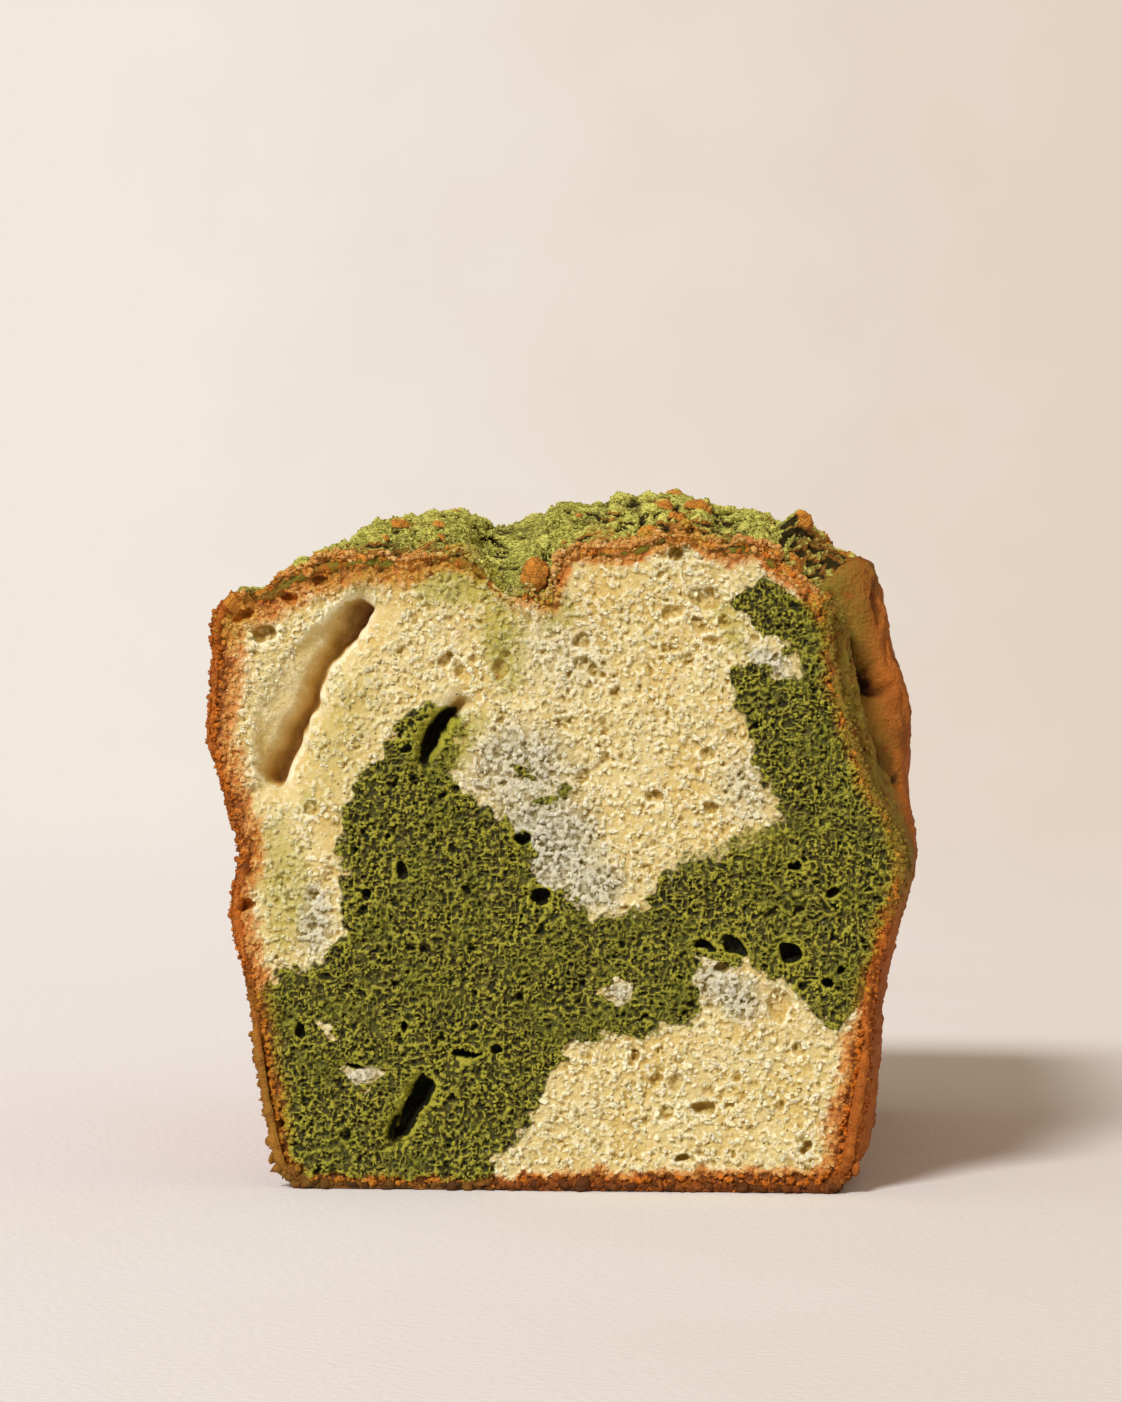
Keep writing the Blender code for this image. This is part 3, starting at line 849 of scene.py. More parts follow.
def crumb_finish(colours):
    """Moist, open crumb: vanilla, green, and all that lies between them, browned at the skin."""
    finish = Finish("marbled_crumb", roughness=0.62, specular=0.3)
    # pit is the depth of the pores; hollow is the painted shadow under the lips of the large hollows.
    pit, hollow = finish.value("pit"), finish.value("hollow")
    lit, tone = finish.value("lit"), finish.value("tone")
    cloud = finish.noise(0.8, 4.0)
    green = (finish.value("green") + (cloud - 0.5) * 1.1 + (tone - 0.5) * 0.25).rise(0.3, 0.72)
    speckle = finish.noise(0.26, 2.0)
    # raised: how far a place stands out of its neighbours, with speckle and tone added. Several colours
    # below follow it as painted light and shade.
    raised = lit + (speckle - 0.5) * 0.35 + (tone - 0.5) * 0.14

    # Painted highlight: raised vanilla flakes take a lighter colour.
    vanilla = finish.mix(raised.rise(0.46, 0.82), colours.vanilla, colours.vanilla_flake_highlight)
    drift = finish.noise(7.0, 4.0).rise(0.4, 0.68)
    vanilla = finish.mix(drift * raised.rise(0.75, 0.4) * 0.7, vanilla, colours.vanilla_moist)
    vanilla = finish.mix(finish.value("moss") * (0.3 + cloud * 0.8), vanilla, colours.moss)
    # Painted shade: sunk places of the vanilla take the darker pore colour.
    vanilla = finish.mix(raised.rise(0.42, 0.12), vanilla, colours.vanilla_pore_shade)
    grey = finish.mix(raised.rise(0.28, 0.6), colours.cool_shade, colours.cool_white)
    vanilla = finish.mix(finish.value("cool") * 0.85, vanilla, grey)
    speck = finish.cells(2.0).rise(0.085, 0.05)
    vanilla = finish.mix(speck * 0.9, vanilla, colours.bean_speck)
    # Painted shadow in the large hollows, tan where it begins and brown under their lips.
    fold = finish.mix((hollow + (cloud - 0.5) * 0.3).rise(0.45, 1.1), colours.fold_shadow_tan, colours.fold_shadow_brown)
    vanilla = finish.mix(hollow.rise(0.05, 0.9), vanilla, fold)

    # Painted highlight: raised green flakes take a lighter colour.
    leaf = finish.mix(raised.rise(0.45, 0.78), colours.green, colours.green_flake_highlight)
    leaf = finish.mix(finish.noise(6.0).rise(0.45, 0.7) * 0.5, leaf, colours.green_bright)
    # Darker patches of green at random, in the pore shade colour.
    leaf = finish.mix(finish.noise(3.5).rise(0.5, 0.3) * 0.3, leaf, colours.green_pore_shade)
    # Painted shade in the green's sunk places and pores, then painted shadow in its hollows.
    sunk = (raised.rise(0.46, 0.16) * 0.9 + pit.rise(0.4, 0.95)).rise(0.1, 1.0)
    leaf = finish.mix(sunk, leaf, colours.green_pore_shade)
    leaf = finish.mix(hollow.rise(0.1, 0.9) * 0.8, leaf, colours.green_pore_shade)

    crumb = finish.mix(green, vanilla, leaf)
    baked = finish.value("baked") + (cloud - 0.5) * 0.35
    # Inner crust with painted light: golden on raised places, orange in sunk ones.
    golden = finish.mix(raised.rise(0.4, 0.75), colours.crust_orange, colours.crust_golden)
    crumb = finish.mix(baked.rise(0.05, 0.45) * (1.0 - green * 0.8) * 0.8, crumb, golden)
    # Outer crust with painted shade: brown in sunk places, orange on raised ones.
    orange = finish.mix(raised.rise(0.35, 0.8), colours.crust_brown, colours.crust_orange)
    crumb = finish.mix(baked.rise(0.4, 0.8) * (1.0 - green * 0.2), crumb, orange)
    crumb = finish.mix(finish.value("moss") * cloud.rise(0.35, 0.65) * 0.55, crumb, colours.moss)
    finish.set("Base Color", crumb)
    finish.set("Coat Weight", finish.noise(0.4, 2.0).rise(0.56, 0.7) * (0.45 - baked * 0.4))
    finish.set("Coat Roughness", 0.25)
    relief = finish.noise(0.34, 5.0) + finish.noise(0.14, 3.0) * 0.4
    finish.set("Normal", finish.bump(relief, 0.3, 0.8))
    finish.glow(0.3, 1.0, (1.0, 0.62, 0.22))
    return finish.material


def wall_finish(colours):
    """Browned skin where the cake touched the tin, olive where it covers the green batter."""
    finish = Finish("browned_skin", roughness=0.7, specular=0.22)
    cloud = finish.noise(9.0, 5.0)
    mottle = finish.noise(1.4, 4.0)
    olive, shade = finish.value("olive"), finish.value("shade")
    base = finish.mix(cloud.rise(0.3, 0.75), colours.skin_orange, colours.skin_brown)
    base = finish.mix(mottle.rise(0.45, 0.75) * 0.4, base, colours.skin_pale)
    flank = finish.mix(mottle.rise(0.48, 0.7), colours.flank_olive, colours.flank_brown)
    base = finish.mix(olive, base, flank)
    base = finish.mix(finish.value("powder") * mottle.rise(0.3, 0.6), base, colours.powder_shade)
    # Painted shade in the pits and torn folds, darker along the foot of the walls, and darker skin grains
    # at random.
    base = finish.mix((finish.value("pit") * 0.5 + shade).rise(0.0, 1.0), base, colours.skin_pit_shade)
    finish.set("Base Color", base)
    finish.set("Roughness", 0.6 + mottle * 0.25)
    relief = finish.noise(0.55, 5.0) + finish.noise(0.25, 3.0) * 0.4
    finish.set("Normal", finish.bump(relief, 0.6, 0.8))
    finish.glow(0.08, 0.6, (1.0, 0.4, 0.15))
    return finish.material


def crown_finish(colours):
    """The crown: browned lumps and creases with green powder lying on them."""
    finish = Finish("powdered_crown", roughness=0.85, specular=0.2)
    mottle = finish.noise(0.8, 4.0, (1.0, 0.5, 1.0))
    tone, powder, crease_shade, lit = (finish.value(name) for name in ("tone", "powder", "crease_shade", "lit"))
    baked = finish.mix(tone.rise(0.35, 0.85), colours.crown_brown, colours.crown_orange)
    # Painted highlight: exposed lumps turn golden where the mottle allows.
    baked = finish.mix(mottle.rise(0.5, 0.72) * lit, baked, colours.crust_golden)
    grains = finish.noise(0.35, 4.0)
    swirl = finish.noise(0.8, 3.0, (0.6, 1.0, 1.0)) - 0.5
    ridge = swirl.magnitude().rise(0.1, 0.0)
    # Painted highlight on the powder where it stands out and along its curls, with its grain.
    highlight_and_grain = grains * 0.4 + lit * 0.7 + ridge * 0.35
    dust = finish.mix(highlight_and_grain.rise(0.5, 1.0), colours.powder_shade, colours.powder)
    shown = (powder + (mottle - 0.5) * 0.8).rise(0.3, 0.6)
    top = finish.mix(shown, baked, dust)
    # Painted shade in the creases and in low places.
    top = finish.mix((crease_shade * 0.5 + lit.rise(0.52, 0.24)).rise(0.05, 0.95), top, colours.crown_crease_shade)
    finish.set("Base Color", top)
    relief = finish.noise(0.3, 5.0) * 0.6 + ridge * 0.7
    finish.set("Normal", finish.bump(relief, 0.35, 0.9))
    finish.glow(0.05, 0.5, (1.0, 0.7, 0.2))
    return finish.material


def powder_finish(colours):
    """Clumps of powder, each a little different."""
    finish = Finish("powder", roughness=0.9, specular=0.1)
    dark, light = colours.powder_shade, colours.powder
    colour = finish.mix(finish.value("tone") * 0.9, dark, light)
    finish.set("Base Color", finish.mix(finish.noise(0.3).rise(0.4, 0.7) * 0.2, colour, light))
    finish.set("Normal", finish.bump(finish.noise(0.15, 3.0), 0.08, 0.6))
    return finish.material


def floor_finish(colours):
    """Matt plaster, fading out at its rim into the backdrop."""
    finish = Finish("pale_plaster", roughness=0.9, specular=0.15)
    split = finish.add("ShaderNodeSeparateXYZ", "X", {0: finish.place})
    side = split + (finish.noise(90.0, 4.0) - 0.5) * 0.12
    grit = finish.noise(1.1, 3.0)
    # Painted shade: the floor turns to its shade colour towards +X, away from the key light.
    base = finish.mix(side.rise(-0.12, 0.1), colours.floor, colours.floor_shade)
    finish.set("Base Color", base)
    finish.set("Normal", finish.bump(grit, 0.25, 0.6))
    far = finish.add("ShaderNodeVectorMath", "Value", {0: finish.place}, operation="LENGTH")
    finish.set("Alpha", 1.0 - far.rise(0.36, 0.95))
    return finish.material


def colour(name, description, red, green, blue):
    """A colour setting whose default is given as on the screen."""
    return bpy.props.FloatVectorProperty(
        name=name, description=description, subtype="COLOR", size=3, min=0.0, max=1.0,
        default=paint(red, green, blue),
    )


def length(name, description, default):
    """A length setting whose default is given in millimetres."""
    return bpy.props.FloatProperty(
        name=name, description=description, unit="LENGTH", min=0.0, default=default * MM,
        precision=5,
    )


def number_of(name, description, default):
    """A setting for how many of something there are."""
    return bpy.props.IntProperty(name=name, description=description, default=default, min=0)


class LoafSizes(bpy.types.PropertyGroup):
    """Sizes of the crumb, the skin and the powder."""

    crumb_spacing: length("Crumb spacing", "Distance between the points of the cut crumb", 0.15)
    skin_spacing: length("Skin spacing", "Distance between the points of the skin's front", 0.32)
    skin_split: length("Skin split", "How far behind the knife the skin's fine part ends", 28.0)
    crown_spacing: length("Crown spacing", "Distance between the points of the crown's front", 0.2)
    crown_split: length("Crown split", "How far behind the knife the fine part ends", 24.0)
    slab_depth: length("Crumb depth", "How far the crumb pieces reach behind the knife", 9.5)
    skin_relief: length("Skin relief", "Height of the skin's unevenness", 0.35)
    crag_relief: length("Crag relief", "Height of the crown's lumps", 0.95)
    grain_radius: length("Grain radius", "Usual radius of a loose grain", 0.24)
    knob_radius: length("Knob radius", "Radius of the knob of crust in the crack", 1.9)
    vanilla_grains: number_of("Vanilla grains", "Loose grains on the vanilla crumb", 5200)
    green_grains: number_of("Green grains", "Loose grains on the green crumb", 5600)
    crust_grains: number_of("Crust grains", "Loose grains along the cut crust", 3600)
    rim_grains: number_of("Rim grains", "Grains along the front edge of the crown", 3600)
    skin_grains: number_of("Skin grains", "Loose grains along the skin's rim", 2300)
    powder_grains: number_of("Powder clumps", "Clumps of powder on the crown", 6000)


class LoafColours(bpy.types.PropertyGroup):
    """Colours of the crumb, the skin, the powder and the stage."""

    vanilla: colour("Vanilla", "Vanilla crumb", 215, 199, 142)
    # Painted highlight on the raised flakes of the vanilla.
    vanilla_flake_highlight: colour("Vanilla flake", "Lit flakes of vanilla crumb", 244, 238, 204)
    vanilla_moist: colour("Moist vanilla", "Yellower drifts in the vanilla", 206, 176, 92)
    # The pores' golden colour with painted shade, for sunk places of the vanilla.
    vanilla_pore_shade: colour("Vanilla pore", "Inside the pores of the vanilla", 170, 138, 60)
    cool_white: colour("Cool white", "Greyer vanilla next to the green", 206, 205, 190)
    cool_shade: colour("Cool shade", "Gaps in the greyer vanilla", 100, 92, 54)
    moss: colour("Moss", "Vanilla stained by the green", 166, 160, 46)
    bean_speck: colour("Bean speck", "Vanilla seeds", 58, 38, 20)
    # Painted shadow in the large hollows of the vanilla: its light start, then its dark part under the
    # lips.
    fold_shadow_tan: colour("Tan fold", "Shallow part of the folds in the vanilla", 218, 176, 92)
    fold_shadow_brown: colour("Brown fold", "Deep part of the folds in the vanilla", 128, 76, 16)
    green: colour("Green", "Green tea crumb", 66, 62, 6)
    # Painted highlight on the raised flakes of the green.
    green_flake_highlight: colour("Green flake", "Lit flakes of green crumb", 166, 162, 52)
    green_bright: colour("Bright green", "Fresher green near the walls", 106, 110, 22)
    # Painted shade in the green's pores, sunk places and hollows; also its darker patches.
    green_pore_shade: colour("Green pore", "Inside the pores of the green", 24, 24, 2)
    crust_golden: colour("Golden crust", "Inner part of the cut crust", 214, 148, 34)
    crust_orange: colour("Orange crust", "Middle of the cut crust", 202, 112, 20)
    crust_brown: colour("Brown crust", "Outer part of the cut crust", 112, 60, 14)
    skin_orange: colour("Orange skin", "Skin of the walls where it is light", 182, 100, 30)
    skin_brown: colour("Brown skin", "Skin of the walls where it is dark", 134, 70, 18)
    skin_pale: colour("Pale skin", "Paler grains in the skin", 208, 138, 62)
    # Painted shade in the skin's pits and torn folds; also the darker foot of the walls and darker grains.
    skin_pit_shade: colour("Dark skin", "Pits in the skin", 46, 22, 6)
    flank_olive: colour("Olive flank", "Skin over the green batter", 138, 114, 38)
    flank_brown: colour("Brown flank", "Browner skin over the green batter", 132, 76, 20)
    crown_brown: colour("Brown crown", "Darkest browned lumps of the crown", 160, 104, 40)
    crown_orange: colour("Orange crown", "Lightest browned lumps of the crown", 212, 142, 56)
    # Painted shade in the crown's creases and low places.
    crown_crease_shade: colour("Crown crease", "Creases in the crown", 50, 42, 8)
    powder: colour("Powder", "Green powder in the light", 218, 216, 112)
    # Green powder with painted shade; also the darker tone of the powder clumps and of the powder on the
    # skin.
    powder_shade: colour("Powder shade", "Green powder where it is thin", 122, 120, 36)
    floor: colour("Floor", "The floor on the lit side", 234, 236, 244)
    floor_shade: colour("Floor shade", "The floor on the far side", 224, 222, 222)
    backdrop_light: colour("Light backdrop", "The wall behind, on the lit side", 241, 232, 222)
    backdrop_dark: colour("Dark backdrop", "The wall behind, on the far side", 227, 211, 195)


class LOAF_OT_crumb(bpy.types.Operator):
    """Model the marbled crumb of the cut end in its vanilla and green regions"""

    bl_idname = "loaf.crumb"
    bl_label = "Cut Crumb"

    def execute(self, context):
        sizes = context.scene.loaf_sizes
        spacing = sizes.crumb_spacing / MM
        finish = crumb_finish(context.scene.loaf_colours)
        outline = np.array(CAKE.outline)
        low, high = outline.min(axis=0), outline.max(axis=0)
        columns, rows = (int(side / spacing) + 1 for side in high - low)
        across, up = np.meshgrid(np.linspace(low[0], high[0], columns), np.linspace(low[1], high[1], rows))
        places = np.stack((across.ravel(), up.ravel()), axis=1)
        edge = inside_by(places, CAKE.outline)
        form = crumb_form(places, edge)
        height = -form["depth"].reshape(rows, columns)
        lit = exposure(height, spacing).ravel()
        form["lit"] = lit + (0.56 - lit) * 0.8 * form["calm"]
        region = self.region(places)
        for number, (name, slot) in enumerate(CRUMB_PIECES):
            made = flat_grid(name, columns, rows)
            order = grid_order(made, columns, rows)
            corners = np.empty(len(made.data.loops), int)
            made.data.loops.foreach_get("vertex_index", corners)
            corners = order[corners].reshape(-1, 4)
            inside = (edge[corners] > 0.1).all(axis=1)
            cut_away(made, ~(inside & (region[corners[:, 0]] == number)))
            order = grid_order(made, columns, rows)
            flat = places[order]
            write_points(made, np.stack((flat[:, 0], KNIFE + form["depth"][order], flat[:, 1]), axis=1))
            count = close_behind(made, self.tucked(sizes.slab_depth / MM))
            for value in CRUMB_VALUES:
                carried = np.zeros(len(made.data.vertices))
                carried[:count] = form[value][order]
                write_values(made, value, carried)
            finish_piece(made, slot, finish)
        return {"FINISHED"}

    def region(self, places):
        """The number of the piece that each place on the cut belongs to."""
        across, up = places[:, 0], places[:, 1]
        is_green = inside_by(stirred(places, 3.6, 0.8, 21), GREEN_OUTLINE) > 0
        wedge = (across > -12.0) & (up < 22.0 + 0.3 * across)
        left = across < np.minimum(-4.0 - (82.0 - up) * 0.4, -4.0)
        vanilla = np.where(wedge, 2, np.where(left, 0, 1))
        return np.where(is_green, np.where(across < 1.0, 3, 4), vanilla)

    def tucked(self, slab_depth):
        """A function that draws a border straight back, and in from the skin where it meets it."""
        def tuck(points):
            flat = points[:, (0, 2)]
            near = inside_by(flat, CAKE.outline) < 1.5
            drawn = np.where(near[:, None], HEART + (flat - HEART) * 0.9, flat)
            back = np.full(len(points), KNIFE + slab_depth)
            return np.stack((drawn[:, 0], back, drawn[:, 1]), axis=1)

        return tuck


def shoulders():
    """The two places on the cut's edge where the walls turn into the crown."""
    outline = np.array(CAKE.outline)
    high = outline[outline[:, 1] > 72.0]
    return tuple(high[np.argmin(high[:, 0])]), tuple(high[np.argmax(high[:, 0])])


def base_corners():
    """The two ends of the base on the cut's edge."""
    outline = np.array(CAKE.outline)
    base = outline[outline[:, 1] < 0.05]
    return tuple(base[np.argmin(base[:, 0])]), tuple(base[np.argmax(base[:, 0])])


def wrap_rows(angles, rows, passes, closed):
    """Reach of the skin at each row behind the knife and each angle, smoothed."""
    reach = np.empty((len(rows), len(angles)))
    for row, behind in enumerate(rows):
        for column, angle in enumerate(angles):
            place = behind if np.isscalar(behind) else behind[column]
            found = CAKE.reach(angle, max(place, 0.03))
            reach[row, column] = found if found is not None else reach[row - 1, column]
    return softened(reach, passes, closed)


def skin_values(points):
    """How olive the skin is at points of it, as over the green, and how powdered."""
    across, behind, up = points[:, 0], points[:, 1] - KNIFE, points[:, 2]
    patch = waves(points, 9.0, 171, 2) * 0.35
    flap = smooth_step(across, 24.0, 33.0) * smooth_step(up + 14.0 * patch, 34.0, 46.0)
    flap = flap * smooth_step(behind + 4.0 * patch, 12.5, 8.5)
    low_green = smooth_step(across, -28.0, -36.0) * smooth_step(up + 14.0 * patch, 30.0, 14.0)
    low_green = 0.6 * low_green * smooth_step(behind + 20.0 * patch, 36.0, 6.0)
    under_green = smooth_step(across, -6.0, -12.0) * smooth_step(up, 4.0, 2.0)
    low_green = np.maximum(low_green, 0.6 * under_green * smooth_step(behind, 6.0, 2.0))
    lump = smooth_step(across, 30.0, 36.0) * smooth_step(up, 52.0, 60.0) * 0.12
    far = smooth_step(behind, 30.0, 60.0) * smooth_step(patch, 0.05, 0.4) * 0.25
    powder = smooth_step(up + 6.0 * patch, 73.0, 80.0) * (1.0 - 0.6 * smooth_step(across, 26.0, 34.0))
    powder = np.maximum(powder, 0.5 * flap * smooth_step(waves(points, 2.0, 175, 2), 0.0, 0.6))
    return np.clip(np.maximum(flap, lump) + low_green + far, 0.0, 1.0), powder


SKIN_VALUES = ("olive", "powder", "pit", "shade")


class LOAF_OT_skin(bpy.types.Operator):
    """Model the browned skin, finely in front and plainly behind: walls, base and baked end"""

    bl_idname = "loaf.skin"
    bl_label = "Browned Skin"

    # Rows of the front's rim, turned in behind the crumb: how far inside the skin, how far behind.
    RIM = ((3.6, 10.0), (2.6, 5.0), (1.9, 2.2), (1.3, 1.2), (0.8, 0.6), (0.35, 0.25))

    def execute(self, context):
        sizes = context.scene.loaf_sizes
        finish = wall_finish(context.scene.loaf_colours)
        split = sizes.skin_split / MM
        self.model("skin_front", sizes.skin_spacing / MM, split, sizes, finish)
        self.model("skin_back", sizes.skin_spacing / MM * 2.6, split, sizes, finish)
        return {"FINISHED"}

    def model(self, name, spacing, split, sizes, finish):
        """One length of the skin as a closed body wrapped round the cake."""
        left, right = shoulders()
        base_left, base_right = base_corners()
        over = outline_angles(left, right, spacing * 3.5)[:-1]
        angles = np.unwrap(np.concatenate((
            over,
            outline_angles(right, base_right, spacing)[:-1],
            outline_angles(base_right, base_left, spacing * 1.25)[:-1],
            outline_angles(base_left, left, spacing),
        )))
        ways = np.stack((np.cos(angles), np.sin(angles)), axis=1)
        front = name == "skin_front"
        grid = self.front_rows(angles, spacing, split) if front else self.back_rows(angles, spacing, split)
        size = np.array([row[0] for row in grid])
        behind = np.array([row[1] for row in grid])
        share = np.array([row[2] for row in grid])[:, None]
        size = np.maximum(size - self.sunk_under_crown(len(over), spacing * 3.5, behind), 0.0)
        across = HEART[0] + size * ways[:, 0]
        up = np.maximum(HEART[1] + size * ways[:, 1], 0.0)
        places = np.stack((across, KNIFE + behind, up), axis=2)
        middle = np.clip(KNIFE + behind, KNIFE + 12.0, KNIFE + 80.0)
        inner = np.stack((across * 0.5, middle, HEART[1] + (up - HEART[1]) * 0.5), axis=2)

        rise, carried = self.relief(places.reshape(-1, 3), sizes.skin_relief / MM)
        points = places + outward(places, inner) * (rise.reshape(across.shape) * share)[:, :, None]
        points[:, :, 2] = np.maximum(points[:, :, 2], 0.0)
        points[:, -1] = points[:, 0]
        made, order = sheet(name, points)
        carried["olive"], carried["powder"] = skin_values(places.reshape(-1, 3))
        for value, numbers in carried.items():
            write_values(made, value, numbers[order])
        bpy.ops.object.mode_set(mode="EDIT")
        bpy.ops.mesh.select_all(action="SELECT")
        bpy.ops.mesh.remove_doubles(threshold=0.001 * MM)
        bpy.ops.mesh.normals_make_consistent(inside=False)
        bpy.ops.object.mode_set(mode="OBJECT")
        finish_piece(made, "crust", finish)

    def sunk_under_crown(self, over, spacing, behind):
        """How far the skin lies below its true place, where the crown covers it."""
        steps = np.arange(behind.shape[1])
        beside = np.clip(np.minimum(steps, over - steps), 0, None) * spacing
        sink = np.clip(0.35 * behind, 0.0, 3.3) + 3.0 * smooth_step(behind, 9.5, 14.0)
        return sink * smooth_step(behind, LENGTH - 9.0, LENGTH - 14.0) * smooth_step(beside, 1.5, 5.0)

    def front_rows(self, angles, spacing, split):
        """Rows from inside the cut's rim, round it, back along the skin and inside it to the start."""
        rows = np.arange(0.3, split + 1.2, spacing)
        reach = wrap_rows(angles, rows, 2, True)
        first = reach[0]
        narrow = reach[rows < 9.0].min(axis=0) + 0.4
        still = np.ones(len(angles))
        rim = [
            ((narrow if back > 2.0 else first) - inset, back * still, 0.8 if back < 2.0 else 0.0)
            for inset, back in self.RIM
        ]
        sunk = 0.8 * smooth_step(rows, split + 0.1, split + 1.3)
        skin = [(size - dip, behind * still, 1.0) for size, behind, dip in zip(reach, rows, sunk)]
        return rim + skin + [(reach[-1] - 3.6, rows[-1] * still, 0.0), rim[0]]

    def back_rows(self, angles, spacing, split):
        """Rows from a closed front inside the cake, back along the skin and over the baked end."""
        ways = np.stack((np.cos(angles), np.sin(angles)), axis=1)
        first = np.array([CAKE.reach(angle, split) for angle in angles])
        ends = self.ends(ways, first * 0.8, LENGTH - 8.0)
        count = round(float(np.mean(ends - 4.0 - split)) / (spacing * 1.1))
        rows = [split + (ends - 4.0 - split) * step / count for step in range(count + 1)]
        reach = wrap_rows(angles, rows, 4, True)
        start = [(reach[0] * share, rows[0] - 1.6, 0.0) for share in (0.0, 0.5, 0.9)]
        start += [(reach[0] - dip, rows[0] - back, 1.0) for dip, back in ((1.5, 1.4), (0.6, 0.7))]
        skin = [(size, behind, 1.0) for size, behind in zip(reach, rows)]
        steps = np.linspace(0.98, 0.0, round(40.0 / (spacing * 1.2)))
        cap = [
            (reach[-1] * share, np.maximum(self.ends(ways, reach[-1] * share, LENGTH - 8.0), rows[-1]), 1.0)
            for share in steps
        ]
        cap[-1] = (cap[-1][0], cap[-1][1], 0.0)
        return start + skin + cap

    def ends(self, ways, sizes, missing):
        """How far the baked end is behind the knife, so far from the heart line in each direction."""
        found = [CAKE.end_behind(*(HEART + way * size)) for way, size in zip(ways, sizes)]
        return np.array([missing if end is None else end for end in found])

    def relief(self, points, height):
        """Unevenness of the skin, its pits, and the shade in the torn fold on the right flank."""
        along = stirred(points, 2.0, 0.5, 181)
        beads, _ = balls(along, 0.85, 0.9, 191, 0.3, 0.52)
        lumps, _ = balls(along, 2.2, 0.7, 195, 0.25, 0.5)
        pits, _ = balls(along, 2.4, 0.35, 201, 0.15, 0.4)
        slow = waves(points, 8.0, 211, 2)
        across, behind, up = points[:, 0], points[:, 1] - KNIFE, points[:, 2]
        upper_flank = smooth_step(across, 28.0, 36.0) * smooth_step(up, 44.0, 56.0)
        creases = waves(points * (1.0, 1.0, 0.35), 1.5, 221, 3)
        rise = height * (1.3 * beads + 0.7 * lumps - 1.1 * pits + 0.6 * slow - 0.8)
        smoother = height * (1.9 * creases + 0.9 * beads + 0.9 * slow - 0.5)
        rise = rise + (smoother - rise) * upper_flank * 0.7
        beneath = smooth_step(np.abs(across), 28.0, 35.0) * smooth_step(up, 24.0, 16.0)
        rise = rise + 0.7 * beneath * smooth_step(up, 0.5, 4.0)
        settled = np.maximum(smooth_step(up, 0.0, 1.5), 0.8 * smooth_step(behind, 1.6, 0.6))
        rise = rise * settled * (1.0 + 0.8 * smooth_step(behind, 2.5, 0.5))

        side = stirred(points, 3.0, 0.5, 225)[:, 1:] - (KNIFE, 0.0)
        # Darker along the foot of the walls; painted shade in the torn folds below.
        shade = 0.45 * smooth_step(up, 3.0, 0.4)
        for place, half_size, turn, deep in TORN_FOLDS:
            fold = smooth_step(oval(side, place, half_size, turn), 0.0, 0.8) * (across > 25.0)
            rise = rise - deep * fold
            shade = np.maximum(shade, fold * min(1.0, deep / 1.6))
        return rise, {"pit": smooth_step(pits, 0.1, 0.7), "shade": shade}


